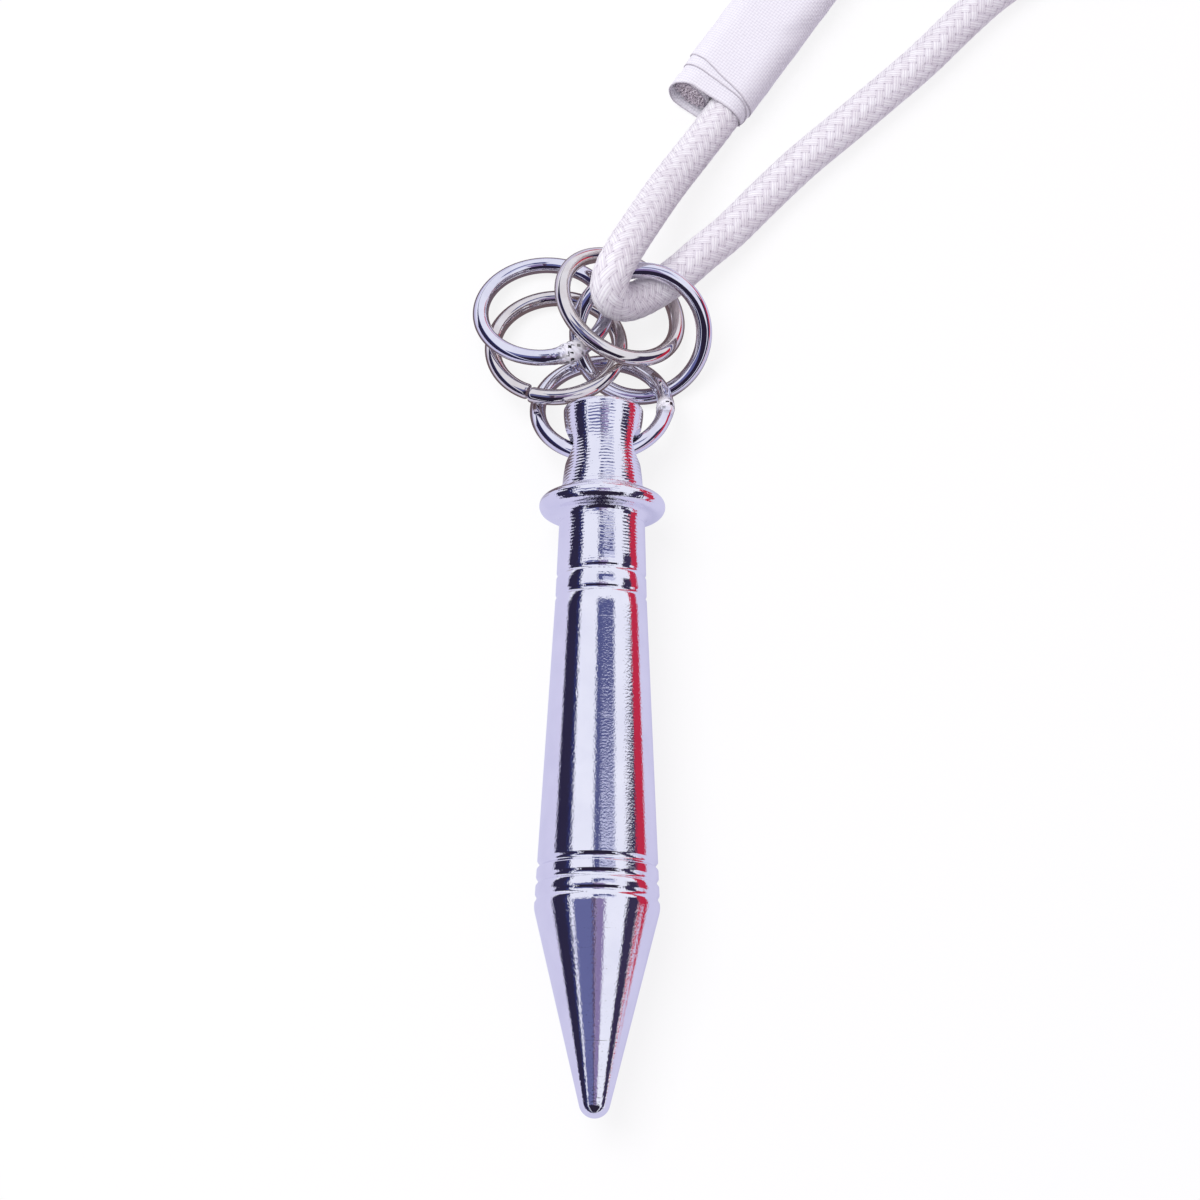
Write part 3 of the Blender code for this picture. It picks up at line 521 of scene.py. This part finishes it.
def wovenTape(spec):
    # plain-woven cotton tape: matt, thread crowns in a square grid with painted shade in the small gaps
    # between
    made, tree, shader = newMaterial("wovenCottonTape")
    uv = addNode(tree, "UVMap", {"uv_map": "UVMap"})
    parts = addNode(tree, "SeparateXYZ", links={0: uv})
    perUnit = spec["uvUnit"] / spec["threadPitch"] * math.pi
    waves, threads = [], []
    for way in parts.outputs[:2]:          # warp, then weft
        turned = addNode(tree, "Math", {"operation": "MULTIPLY", 1: perUnit}, {0: way})
        waves.append(addNode(tree, "Math", {"operation": "SINE"}, {0: turned}))
        threads.append(addNode(tree, "Math", {"operation": "ABSOLUTE"}, {0: waves[-1]}))
    both = addNode(tree, "Math", {"operation": "MULTIPLY"}, {0: waves[0], 1: waves[1]})
    sign = addNode(tree, "Math", {"operation": "GREATER_THAN", 1: 0.0}, {0: both})
    crown = addNode(tree, "Mix", {"data_type": "FLOAT"}, {0: sign, 2: threads[0], 3: threads[1]})
    gap = addNode(tree, "Math", {"operation": "MULTIPLY"}, {0: threads[0], 1: threads[1]})
    # painted shade: darker in the gaps where the threads part
    shade = addNode(tree, "ValToRGB", {"stops": [(0.0, "#d9d7e0"), (0.14, "#e3e2e9"), (0.4, "#ebeaf0"),
                                                 (1.0, "#eeedf2")]}, {0: gap})
    slub = addNode(tree, "TexNoise", {"Scale": spec["boxSide"] / spec["slub"], "Detail": 3.0})
    slubShade = addNode(tree, "ValToRGB", {"stops": [(0.25, "#ebe7ee"), (0.5, "#fcfbfd"), (1.0, "#ffffff")]},
                        {0: slub})
    slubbed = addNode(tree, "Mix", {"data_type": "RGBA", "blend_type": "MULTIPLY", 0: 0.8},
                      {6: shade, 7: slubShade})
    edge = addNode(tree, "Attribute", {"attribute_name": "rawEdge"})        # painted shade along the raw cut edge, where each layer steps down
    # painted shade: the tape darkens along its raw edge, at the step down to the layer below
    paintedEdgeShade = addNode(tree, "Math", {"operation": "MULTIPLY", 1: 0.7}, {0: edge.outputs["Fac"]})
    colour = addNode(tree, "Mix", {"data_type": "RGBA", 7: hexColour("#9d949f")},
                     {0: paintedEdgeShade, 6: slubbed.outputs[2]})
    bump = addNode(tree, "Bump", {"Strength": 0.45, "Distance": 0.1 * mm}, {"Height": crown})
    setNode(shader, {"Roughness": 0.88, **cottonSheen}, {"Base Color": colour.outputs[2], "Normal": bump})
    return made


tape = wovenTape(rollSpec)
rollPoints, rollFaces, rollUvs, rollMarks = rolledTape(rollSpec)
binding = meshPiece("tapeBinding", rollPoints, rollFaces, tape, "cord_loop",
                    rollSpec["sharp"], rollUvs, rollMarks)
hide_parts("tape_binding")
print("binding rolled")


# Coil tie: a band of the same tape, its end lapped over its start
tieSpec = {"laps": 1.16, "layer": 0.24, "thick": 0.9, "perTurn": 64, "rows": 10, "startAt": 0.37,
           "lapFrom": 0.93, "round": 44.0, "slack": 0.05, "sharp": 50}


def tieBand(spec):
    angle = math.radians(coilSpec["tieAngle"])
    turn = (angle - math.radians(coilSpec["start"])) / (2 * math.pi)
    bow = coilSpec["tieWidth"] ** 2 / (8 * (coilSpec["radius"] - coilSpec["step"] * coilSpec["turns"]))
    inner = coilSpec["radius"] - coilSpec["step"] * (turn + 1) - 2 * bow - bindingSpec["clear"]
    outer = coilSpec["radius"] - coilSpec["step"] * (coilSpec["turns"] - 0.5 - turn)
    out = np.array((math.cos(angle), math.sin(angle), 0))
    along = np.array((-math.sin(angle), math.cos(angle), 0))
    rise = cordRadius + coilLift(angle) + coilClimb / 2
    middle = np.array(coilSpec["centre"]) + out * (outer + inner) / 2 + (0, 0, rise) + shift
    wide, tall = (outer - inner) / 2, coilClimb / 2

    def outline(part, grow):
        bend = cordRadius + bindingSpec["clear"] + spec["slack"] + grow
        quarter = math.pi / 2 * bend
        total = 4 * quarter + 4 * wide + 4 * tall
        d = ((part + spec["startAt"]) % 1.0) * total
        for cx, cz, start, straight in ((wide, -tall, -90, 2 * tall), (wide, tall, 0, 2 * wide),
                                        (-wide, tall, 90, 2 * tall), (-wide, -tall, 180, 2 * wide)):
            turned = math.radians(start) + min(d, quarter) / bend
            x, z = cx + bend * math.cos(turned), cz + bend * math.sin(turned)
            if d < quarter + straight:
                past = max(0.0, d - quarter)
                return x - past * math.sin(turned), z + past * math.cos(turned)
            d -= quarter + straight
        return wide, -tall - bend

    points = []
    rows, columns = spec["rows"], round(spec["laps"] * spec["perTurn"])
    for layer in range(2):
        for c in range(columns + 1):
            part = c / spec["perTurn"]
            lap = max(0.0, part - spec["lapFrom"]) / (1 - spec["lapFrom"])
            x, z = outline(part, spec["layer"] * (layer * spec["thick"] + min(lap, 1.0)))
            for r in range(rows + 1):
                w = coilSpec["tieWidth"] * (r / rows - 0.5)
                points.append((middle + out * x + along * w + (0, 0, z)) * mm)

    def uvAt(c, r):
        unit = rollSpec["uvUnit"]
        return c / spec["perTurn"] * spec["round"] / unit, r / rows * coilSpec["tieWidth"] / unit

    return points, *sheetFaces(columns, rows, uvAt)


tiePoints, tieFaces, tieUvs = tieBand(tieSpec)
tie = meshPiece("coilTie", tiePoints, tieFaces, tape, "cord_loop", tieSpec["sharp"], tieUvs)
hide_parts("coil_tie")
print("coil tied")


# Head: turned and chrome plated, radii and places in millimetres from the neck's end
headSpec = {"length": 109.0, "neckEnd": 6.15, "edge": 0.8, "waist": 5.5, "neckLength": 13.1, "land": 6.45,
            "landLength": 0.6, "flareBend": (1.5, 0.7), "flareAngle": 158, "collar": 9.65, "collarHalf": 1.45,
            "collarAt": 16.15, "shankAt": 18.8, "shank": 6.55, "fillet": 1.2, "middleAt": 31.3,
            "middle": 6.95, "body": 9.3, "noseAt": 78.3, "shoulder": 0.6, "tip": 2.3, "hole": 3.1,
            "holeAt": 6.5, "grooveCurve": 0.62, "leastStep": 0.015, "around": 224, "sharp": 28}
grooveSpec = [{"at": 27.4, "wide": 1.0, "deep": 0.2}, {"at": 30.8, "wide": 1.0, "deep": 0.2},
              {"at": 72.0, "wide": 1.3, "deep": 0.38}, {"at": 74.5, "wide": 1.3, "deep": 0.33},
              {"at": 77.0, "wide": 1.3, "deep": 0.27}]


def arcPoints(s, r, radius, start, end, count):
    angles = [math.radians(start + (end - start) * i / count) for i in range(count + 1)]
    return [(s + radius * math.cos(a), r + radius * math.sin(a)) for a in angles]


def headProfile(spec):
    points = [(0.0, 0.0), (0.0, 2.0), (0.0, 4.0)]
    points += arcPoints(spec["edge"], spec["neckEnd"] - spec["edge"], spec["edge"], 180, 90, 10)
    swing = spec["neckEnd"] - spec["waist"]
    for start, end, sign in ((spec["edge"], spec["holeAt"], 1), (spec["holeAt"], spec["neckLength"], -1)):
        for i in range(1, 15):
            t = i / 14
            radius = spec["waist"] + swing * (1 + sign * math.cos(math.pi * t)) / 2
            points.append((start + (end - start) * t, radius))
    s, land = spec["neckLength"], spec["land"]
    points += [(s + 0.03, land - 0.1), (s + 0.12, land), (s + spec["landLength"] - 0.05, land)]
    half = spec["collarHalf"]
    collar = arcPoints(spec["collarAt"], spec["collar"] - half, half, spec["flareAngle"], 0, 26)
    start, end = (s + spec["landLength"], land), collar[0]
    bend = (s + spec["flareBend"][0], land + spec["flareBend"][1])
    for i in range(11):
        t = i / 10
        points.append(tuple((1 - t) ** 2 * a + 2 * t * (1 - t) * b + t * t * c
                            for a, b, c in zip(start, bend, end)))
    points += collar[1:]
    points += arcPoints(spec["shankAt"], spec["shank"] + spec["fillet"], spec["fillet"], 180, 270, 12)

    def plain(at):
        return float(np.interp(at, (spec["shankAt"], spec["middleAt"], spec["noseAt"]),
                               (spec["shank"], spec["middle"], spec["body"])))

    at = spec["shankAt"]
    for groove in grooveSpec:
        begin = groove["at"] - groove["wide"] / 2
        steps = max(2, round((begin - at) / 2.0))
        for i in range(1, steps):
            place = at + (begin - at) * i / steps
            points.append((place, plain(place)))
        for i in range(17):
            t = i / 16
            cut = (0.5 - 0.5 * math.cos(2 * math.pi * t)) ** spec["grooveCurve"]
            place = begin + groove["wide"] * t
            points.append((place, plain(place) - groove["deep"] * cut))
        at = begin + groove["wide"]
    reach = spec["length"] - spec["tip"]
    slope = math.atan2(spec["body"] - spec["tip"], reach - spec["noseAt"])
    touch = (reach + spec["tip"] * math.sin(slope), spec["tip"] * math.cos(slope))
    corner = touch[0] - (spec["body"] - touch[1]) / math.tan(slope)
    half = spec["shoulder"]
    for i in range(1, 9):
        t = i / 8
        points.append((corner - half + 2 * half * t, spec["body"] - t * t * half * math.tan(slope)))
    cone = points[-1]
    points += [tuple(a + (b - a) * i / 14 for a, b in zip(cone, touch)) for i in range(1, 14)]
    points += arcPoints(reach, 0.0, spec["tip"], 90 - math.degrees(slope), 0, 18)[:-1]
    points.append((spec["length"], 0.0))
    kept = [points[0]]
    for p in points[1:]:
        if math.dist(p, kept[-1]) > spec["leastStep"]:
            kept.append(p)
    return kept


def lathe(profile, around, holeAt):
    # poles at both ends, rings between; the axis is local Z, the neck's end up, the cross hole at the origin
    points = [(0, 0, (holeAt - profile[0][0]) * mm)]
    for s, r in profile[1:-1]:
        for k in range(around):
            a = 2 * math.pi * k / around
            points.append((r * math.cos(a) * mm, r * math.sin(a) * mm, (holeAt - s) * mm))
    points.append((0, 0, (holeAt - profile[-1][0]) * mm))
    rings = len(profile) - 2
    base = 1 + (rings - 1) * around
    faces = [[0, 1 + k, 1 + (k + 1) % around] for k in range(around)]
    faces += tubeFaces(rings, around, "open", 1)
    faces += [[len(points) - 1, base + (k + 1) % around, base + k] for k in range(around)]
    return points, faces


# feed marks are 0.24 mm apart, drawn at 0.5 mm so that they show; handling marks run round the head
chromeSpec = {"feedPitch": 0.5, "feedWander": 7.0, "neck": (-22 * mm, -9 * mm), "neckMarks": (0.05, 1.5),
              "pebble": 2.2, "markWide": 1 / 2.6, "markLong": 1 / 0.06, "markDeep": -0.6, "relief": 0.009,
              "rough": (0.025, 0.06)}


def platedChrome(spec):
    # chrome plate on a turned head: a clear cool mirror, combed by feed marks at the neck, pebbled below
    made, tree, shader = newMaterial("polishedChromePlate")
    spot = addNode(tree, "TexCoord").outputs["Object"]
    along = addNode(tree, "SeparateXYZ", links={0: spot}).outputs[2]
    perMetre = 2 * math.pi / (spec["feedPitch"] * mm)
    feed = addNode(tree, "Math", {"operation": "MULTIPLY", 1: perMetre}, {0: along})
    wobble = addNode(tree, "TexNoise", {"Scale": 0.7 / mm, "Detail": 2.0}, {0: spot})
    phase = addNode(tree, "Math", {"operation": "MULTIPLY_ADD", 1: spec["feedWander"]}, {0: wobble, 2: feed})
    wave = addNode(tree, "Math", {"operation": "SINE"}, {0: phase})
    neckOnly = addNode(tree, "MapRange", {"span": spec["neck"] + spec["neckMarks"]}, {0: along})
    marks = addNode(tree, "Math", {"operation": "MULTIPLY"}, {0: wave, 1: neckOnly})
    pebble = addNode(tree, "TexNoise", {"Scale": 3.2 / mm, "Detail": 2.0}, {0: spot})
    pebbled = addNode(tree, "Math", {"operation": "MULTIPLY_ADD", 1: spec["pebble"]}, {0: pebble, 2: marks})
    long, wide = 1 / (spec["markLong"] * mm), 1 / (spec["markWide"] * mm)
    drawn = addNode(tree, "Mapping", {"Scale": (long, long, wide)}, {0: spot})
    scratch = addNode(tree, "TexNoise", {"Scale": 1.0, "Detail": 1.0}, {0: drawn})
    scratched = addNode(tree, "MapRange", {"span": (0.68, 0.78, 0.0, spec["markDeep"])}, {0: scratch})
    relief = addNode(tree, "Math", {"operation": "ADD"}, {0: pebbled, 1: scratched})
    bump = addNode(tree, "Bump", {"Strength": 1.0, "Distance": spec["relief"] * mm}, {"Height": relief})
    smear = addNode(tree, "TexNoise", {"Scale": 0.16 / mm, "Detail": 4.0}, {0: spot})
    rough = addNode(tree, "MapRange", {"span": (0.35, 0.75, *spec["rough"])}, {0: smear})
    tint = addNode(tree, "ValToRGB", {"stops": [(0.3, "#f0eff6"), (0.7, "#f8f7fb")]}, {0: smear})
    setNode(shader, {"Metallic": 1.0}, {"Base Color": tint, "Roughness": rough, "Normal": bump})
    return made


def makeHead(spec):
    points, faces = lathe(headProfile(spec), spec["around"], spec["holeAt"])
    joint = next(j for j in frame["joints"] if j["child"] == "head")
    lean = math.atan2(spec["collar"] - spec["body"], spec["noseAt"] - spec["collarAt"])
    plate = platedChrome(chromeSpec)
    head = meshPiece("turnedHead", points, faces, plate, "head", spec["sharp"])
    turn = Matrix.Rotation(-math.pi / 2 + lean, 4, "X")
    turn.translation = Vector(joint["pos_m"])
    head.matrix_world = turn
    bar = bpy.data.meshes.new("holeBar")
    sides, reach, hole = 72, 12 * mm, spec["hole"] * mm
    angles = [2 * math.pi * k / sides for k in range(sides)]
    ends = [(x, hole * math.cos(a), hole * math.sin(a)) for x in (-reach, reach) for a in angles]
    bar.from_pydata(ends, [], [face[::-1] for face in tubeFaces(2, sides, "capped")])
    cutter = newObject("holeBar", bar)
    cutter.matrix_world = turn
    drill = head.modifiers.new("crossHole", "BOOLEAN")
    drill.operation, drill.solver, drill.object = "DIFFERENCE", "EXACT", cutter
    bpy.context.view_layer.update()
    done = bpy.data.meshes.new_from_object(head.evaluated_get(bpy.context.evaluated_depsgraph_get()))
    head.modifiers.remove(drill)
    head.data = done
    bpy.data.objects.remove(cutter)
    clean = bmesh.new()          # takes out the slivers of no area that the cut leaves
    clean.from_mesh(done)
    bmesh.ops.remove_doubles(clean, verts=clean.verts, dist=0.0005 * mm)
    clean.to_mesh(done)
    clean.free()
    done.shade_smooth()
    done.set_sharp_from_angle(angle=math.radians(spec["sharp"]))
    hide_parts("head")


makeHead(headSpec)
print("head turned")


# Rings: wire bent round and closed by a weld, a butt joint, or out of sight
ringSpec = {
    "hub_ring": {"piece": "hubRing", "body": "hub", "finish": "chrome"},
    "welded_ring": {"piece": "weldedRing", "body": "welded_jingle", "finish": "chrome", "weldAt": 296.5,
                    "weldLong": 5.6, "weld": 0.42, "seed": 3},
    "split_ring": {"piece": "splitRing", "body": "split_jingle", "finish": "nickel", "gapAt": 246.5},
    "plain_ring": {"piece": "plainRing", "body": "plain_jingle", "finish": "nickel"},
    "neck_ring": {"piece": "neckRing", "body": "neck_link", "finish": "chrome", "weldAt": 356.5,
                  "weldLong": 3.8, "weld": 0.2, "seed": 8},
}
wireSpec = {"radius": 10.0, "wire": 2.5, "around": 260, "sides": 40, "weldRows": 90, "weldReach": 0.4,
            "lumpy": 0.75, "gap": 0.5, "step": 0.2, "stepFade": 1.6, "endRound": 0.22, "endDeep": 0.1,
            "sharp": 35}


def ringPlace(node):
    # centre and normal of a ring: a turning ring has them in its joint, the hub in its solid
    if node != "hub_ring":
        joint = next(j for j in frame["joints"] if j["child"] == ringSpec[node]["body"])
        axis = np.array(joint["axis"])
        return np.array(joint["pos_m"]) / mm, axis / np.linalg.norm(axis)
    cloud = np.array([v.co for v in frame["nodes"][node].data.vertices], float)
    cloud = np.unique(np.round(cloud, 6), axis=0)
    normal = np.linalg.svd(cloud - cloud.mean(0), full_matrices=False)[2][2]
    return cloud.mean(0) / mm, normal * np.sign(normal[2])


def wireRing(node, spec, wire):
    centre, normal = ringPlace(node)
    first = np.array((1.0, 0, 0)) - normal * normal[0]
    first /= np.linalg.norm(first)
    second = np.cross(normal, first)
    split = "gapAt" in spec
    begin = math.radians(spec.get("gapAt", spec.get("weldAt", 0)))
    if split:
        half = wire["gap"] / wire["radius"] / 2
        angles = begin + np.linspace(half, 2 * math.pi - half, wire["around"] + 1)
    else:
        reach = wire["weldReach"]
        bead = np.linspace(-reach, reach, wire["weldRows"], endpoint=False)
        rest = np.linspace(reach, 2 * math.pi - reach, wire["around"], endpoint=False)
        angles = begin + np.concatenate([bead, rest])
    offs = np.array([math.remainder(a - begin, 2 * math.pi) * wire["radius"] for a in angles])
    welds = np.exp(-2 * (2 * offs / spec["weldLong"]) ** 2) if "weldAt" in spec else np.zeros(len(angles))
    chance = np.random.default_rng(spec.get("seed", 1))
    waves = [(chance.uniform(2, 9), chance.integers(1, 8), chance.uniform(0, 6.28)) for _ in range(9)]
    points = []
    for angle, off, weld in zip(angles, offs, welds):
        middle, thinner = wire["radius"], 0.0
        if split:
            middle += wire["step"] * math.exp(-abs(off) / wire["stepFade"]) * math.copysign(1, off)
            end = max(0.0, 1 - (abs(off) - wire["gap"] / 2) / wire["endRound"])
            thinner = wire["endDeep"] * end * end
        for a in np.arange(wire["sides"]) / wire["sides"] * 2 * math.pi:
            thick = wire["wire"] / 2 - thinner
            if weld > 0:
                rough = sum(math.sin(f * off + n * a + p) for f, n, p in waves) / len(waves)
                thick += spec["weld"] * weld * (1 + wire["lumpy"] * rough)
            out = middle + thick * math.cos(a)
            place = centre + first * out * math.cos(angle) + second * out * math.sin(angle)
            points.append((place + normal * thick * math.sin(a)) * mm)
    faces = tubeFaces(len(angles), wire["sides"], "capped" if split else "joined")
    return points, faces, {"weld": np.repeat(welds, wire["sides"])}


def drawnWire(name, light, dark):
    # plated drawn wire: bright and finely marked; the lumpy weld scatters white between black pits
    made, tree, shader = newMaterial(name)
    spot = addNode(tree, "TexCoord").outputs["Object"]
    weld = addNode(tree, "Attribute", {"attribute_name": "weld"}).outputs["Fac"]
    smear = addNode(tree, "TexNoise", {"Scale": 0.38 / mm, "Detail": 4.0}, {0: spot})
    tint = addNode(tree, "ValToRGB", {"stops": [(0.3, dark), (0.65, light)]}, {0: smear})
    # pits 0.9 mm apart, drawn coarser than real ones so that they show
    pits = addNode(tree, "TexVoronoi", {"distance": "CHEBYCHEV", "Scale": 1.1 / mm}, {0: spot})
    pit = addNode(tree, "ValToRGB", {"stops": [(0.28, "#0b0a10"), (0.32, "#ffffff")]}, {0: pits})
    colour = addNode(tree, "Mix", {"data_type": "RGBA", "blend_type": "MULTIPLY"}, {0: weld, 6: tint, 7: pit})
    rough = addNode(tree, "MapRange", {"span": (0.0, 1.0, 0.04, 0.2)}, {0: weld})
    metal = addNode(tree, "MapRange", {"span": (0.15, 0.8, 1.0, 0.2)}, {0: weld})
    relief = addNode(tree, "Math", {"operation": "MULTIPLY"}, {0: pits, 1: weld})
    fine = addNode(tree, "TexNoise", {"Scale": 2.2 / mm, "Detail": 2.0}, {0: spot})
    total = addNode(tree, "Math", {"operation": "MULTIPLY_ADD", 1: 0.06}, {0: fine, 2: relief})
    bump = addNode(tree, "Bump", {"Strength": 0.5, "Distance": 0.08 * mm}, {"Height": total})
    setNode(shader, links={"Base Color": colour.outputs[2], "Roughness": rough, "Metallic": metal,
                           "Normal": bump})
    return made


wireFinish = {"chrome": drawnWire("chromePlatedWire", "#f1f0f6", "#e6e4ee"),
              "nickel": drawnWire("nickelPlatedWire", "#f0ebe6", "#e2dad4")}
for node, spec in ringSpec.items():
    ringPoints, ringFaces, ringMarks = wireRing(node, spec, wireSpec)
    ring = meshPiece(spec["piece"], ringPoints, ringFaces, wireFinish[spec["finish"]], spec["body"],
                     wireSpec["sharp"], marks=ringMarks)
    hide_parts(node)
print("rings bent:", len(ringSpec))


# Stage: white floor, one soft lamp, and boards round the table that only the metal mirrors
stageSpec = {"floorHalf": 3.0, "floorDrop": 0.2 * mm, "floorColour": "#f4f2f7", "floorGlow": 0.84,
             "lampAt": (-0.28, 0.16, 0.75), "lampAim": (0.01, 0.05, 0), "lampSize": 0.5, "lampPower": 4.8,
             "fill": 0.64, "fillLeft": "#f6f4fb", "fillRight": "#e2d0e2", "pale": "#edeffd",
             # what the metal mirrors in the floor: a lavender tint, a red strip and a shade under the rings
             "floorMirror": 0.8, "floorTint": "#c5c4e7", "red": "#c22f4a", "redFrom": 62 * mm,
             "redEnd": -68 * mm, "redSoft": (3 * mm, 6 * mm),
             "shade": {"at": (-5 * mm, 55 * mm), "size": (29 * mm, 26 * mm), "fade": (1.1, 0.8),
                       "colour": "#6f6068"},
             "boardSoft": 1.2, "boardEndSoft": 0.012}
# left and right edges in degrees from overhead towards the right, with their lean along the head;
# near and far limit a board along the head, where 1 is straight behind its neck
studioBoards = [
    {"colour": "#2d2944", "left": (-114, 60), "right": (-54, 0)},
    {"colour": "#313568", "left": (-61, 0), "right": (-53, 0)},
    {"colour": "#535889", "left": (-9, 0), "right": (33, 0), "near": 0.3, "far": 0.46},
    {"colour": "#c6c9e6", "left": (4, 0), "right": (33, 0), "near": 0.1, "far": 0.3},
    {"colour": "#555987", "left": (-8, 0), "right": (4, 0), "near": 0.1, "far": 0.31},
    {"colour": "#666a9c", "left": (-46, 0), "right": (-6, 0), "far": 0.0},
    {"colour": "#54405a", "left": (-8, 0), "right": (-3, 0), "far": 0.05},
    {"colour": "#8a7ba8", "left": (-3, 0), "right": (15, 0), "far": 0.0},
    {"colour": "#39324f", "left": (57, 0), "right": (82, 0), "far": 0.27},
    {"colour": "#39324f", "left": (-40, 354), "right": (82, 0), "near": 0.26, "far": 0.36},
    {"colour": "#c22f4a", "left": (82, -7), "right": (120, 0), "near": -0.215},
    {"colour": "#2a2438", "left": (-46, 0), "right": (46, 0), "far": -0.42},
]


def makeFloor(spec):
    half = spec["floorHalf"]
    mesh = bpy.data.meshes.new("floor")
    corners = [(-half, -half, 0), (half, -half, 0), (half, half, 0), (-half, half, 0)]
    mesh.from_pydata(corners, [], [(0, 1, 2, 3)])
    floor = newObject("floor", mesh)
    floor.location.z = min(0.0, cadBox[0].z) - spec["floorDrop"]
    made, tree, shader = newMaterial("whiteFloor")
    setNode(shader, {"Base Color": hexColour(spec["floorColour"]), "Roughness": 0.9,
                     "Specular IOR Level": 0.0})
    path = addNode(tree, "LightPath").outputs
    mirrored = addNode(tree, "Math", {"operation": "MAXIMUM"},
                       {0: path["Is Glossy Ray"], 1: path["Is Transmission Ray"]})
    forMirror = addNode(tree, "Math", {"operation": "MULTIPLY", 1: spec["floorMirror"]}, {0: mirrored})
    spot = addNode(tree, "TexCoord").outputs["Object"]
    parts = addNode(tree, "SeparateXYZ", links={0: spot})
    side, end = spec["redSoft"]
    start, stop = spec["redFrom"], spec["redEnd"]
    across = addNode(tree, "MapRange", {"span": (start, start + side)}, {0: parts.outputs[0]})
    onward = addNode(tree, "MapRange", {"span": (stop - end, stop + end)}, {0: parts.outputs[1]})
    board = addNode(tree, "Math", {"operation": "MULTIPLY"}, {0: across, 1: onward})
    shade = spec["shade"]
    fromRings = addNode(tree, "Mapping", {"vector_type": "TEXTURE", "Location": (*shade["at"], 0.0),
                                          "Scale": (*shade["size"], 1.0)}, {0: spot})
    away = addNode(tree, "VectorMath", {"operation": "LENGTH"}, {0: fromRings})
    under = addNode(tree, "MapRange", {"span": shade["fade"]}, {0: away.outputs["Value"]})
    either = addNode(tree, "Math", {"operation": "MAXIMUM"}, {0: board, 1: under})
    eitherOnly = addNode(tree, "Math", {"operation": "MULTIPLY"}, {0: either, 1: mirrored})
    glossyShare = addNode(tree, "Math", {"operation": "MAXIMUM"}, {0: forMirror, 1: eitherOnly})
    share = addNode(tree, "Math", {"operation": "MULTIPLY_ADD", 1: spec["floorGlow"]},
                    {0: path["Is Camera Ray"], 2: glossyShare})
    striped = addNode(tree, "Mix", {"data_type": "RGBA", 6: hexColour(spec["floorTint"]),
                                    7: hexColour(spec["red"])}, {0: board})
    mirror = addNode(tree, "Mix", {"data_type": "RGBA", 7: hexColour(shade["colour"])},
                     {0: under, 6: striped.outputs[2]})
    colour = addNode(tree, "Mix", {"data_type": "RGBA", 6: hexColour("#ffffff")},
                     {0: mirrored, 7: mirror.outputs[2]})
    glow = addNode(tree, "Emission", {"Strength": 1.0}, {0: colour.outputs[2]})
    mix = addNode(tree, "MixShader", links={0: share, 1: shader, 2: glow})
    setNode(tree.nodes["Material Output"], links={0: mix})
    mesh.materials.append(made)


def makeStudio(spec):
    world = bpy.data.worlds.new("studio")
    bpy.context.scene.world = world
    world.use_nodes = True
    tree = world.node_tree
    place = addNode(tree, "TexCoord")
    parts = addNode(tree, "SeparateXYZ", links={0: place.outputs["Generated"]})
    turned = addNode(tree, "Math", {"operation": "ARCTAN2"}, {0: parts.outputs[0], 1: parts.outputs[2]})
    aside = addNode(tree, "Math", {"operation": "MULTIPLY", 1: 180 / math.pi}, {0: turned})
    soft, endSoft = spec["boardSoft"], spec["boardEndSoft"]
    colour = None
    for board in studioBoards:
        edges = []
        for key, order in (("left", (0, 1)), ("right", (1, 0))):
            at, lean = board[key]
            edge = addNode(tree, "Math", {"operation": "MULTIPLY_ADD", 1: lean, 2: at}, {0: parts.outputs[1]})
            inside = addNode(tree, "Math", {"operation": "SUBTRACT"}, {order[0]: aside, order[1]: edge})
            edges.append(addNode(tree, "MapRange", {"span": (-soft, soft)}, {0: inside}))
        for key, fade in (("near", endSoft), ("far", -endSoft)):
            if key in board:
                limits = {"span": (board[key] - fade, board[key] + fade)}
                edges.append(addNode(tree, "MapRange", limits, {0: parts.outputs[1]}))
        mask = edges[0]
        for edge in edges[1:]:
            mask = addNode(tree, "Math", {"operation": "MULTIPLY"}, {0: mask, 1: edge})
        laid = addNode(tree, "Mix", {"data_type": "RGBA", 6: hexColour(spec["pale"]),
                                     7: hexColour(board["colour"])}, {0: mask})
        if colour:
            setNode(laid, links={6: colour})
        colour = laid.outputs[2]
    path = addNode(tree, "LightPath").outputs
    warm = addNode(tree, "MapRange", {"span": (-0.1, 0.9)}, {0: parts.outputs[0]})
    sides = addNode(tree, "Mix", {"data_type": "RGBA", 6: hexColour(spec["fillLeft"]),
                                  7: hexColour(spec["fillRight"])}, {0: warm})
    fill = setNode(tree.nodes["Background"], {"Strength": spec["fill"]}, {"Color": sides.outputs[2]})
    mirror = addNode(tree, "Background", {"Strength": 1.0}, {0: colour})
    white = addNode(tree, "Background", {"Color": hexColour("#ffffff"), "Strength": 1.0})
    glossy = addNode(tree, "MixShader", links={0: path["Is Glossy Ray"], 1: fill, 2: mirror})
    seen = addNode(tree, "MixShader", links={0: path["Is Camera Ray"], 1: glossy, 2: white})
    setNode(tree.nodes["World Output"], links={0: seen})
    lampData = bpy.data.lights.new("softLamp", "AREA")
    lampData.energy, lampData.size = spec["lampPower"], spec["lampSize"]
    lamp = newObject("softLamp", lampData)
    lamp.location = spec["lampAt"]
    lamp.visible_glossy = False
    lamp.rotation_euler = (Vector(spec["lampAim"]) - lamp.location).to_track_quat("-Z", "Y").to_euler()
    bpy.context.scene.view_settings.view_transform = "Standard"


makeFloor(stageSpec)
makeStudio(stageSpec)
print("stage lit")
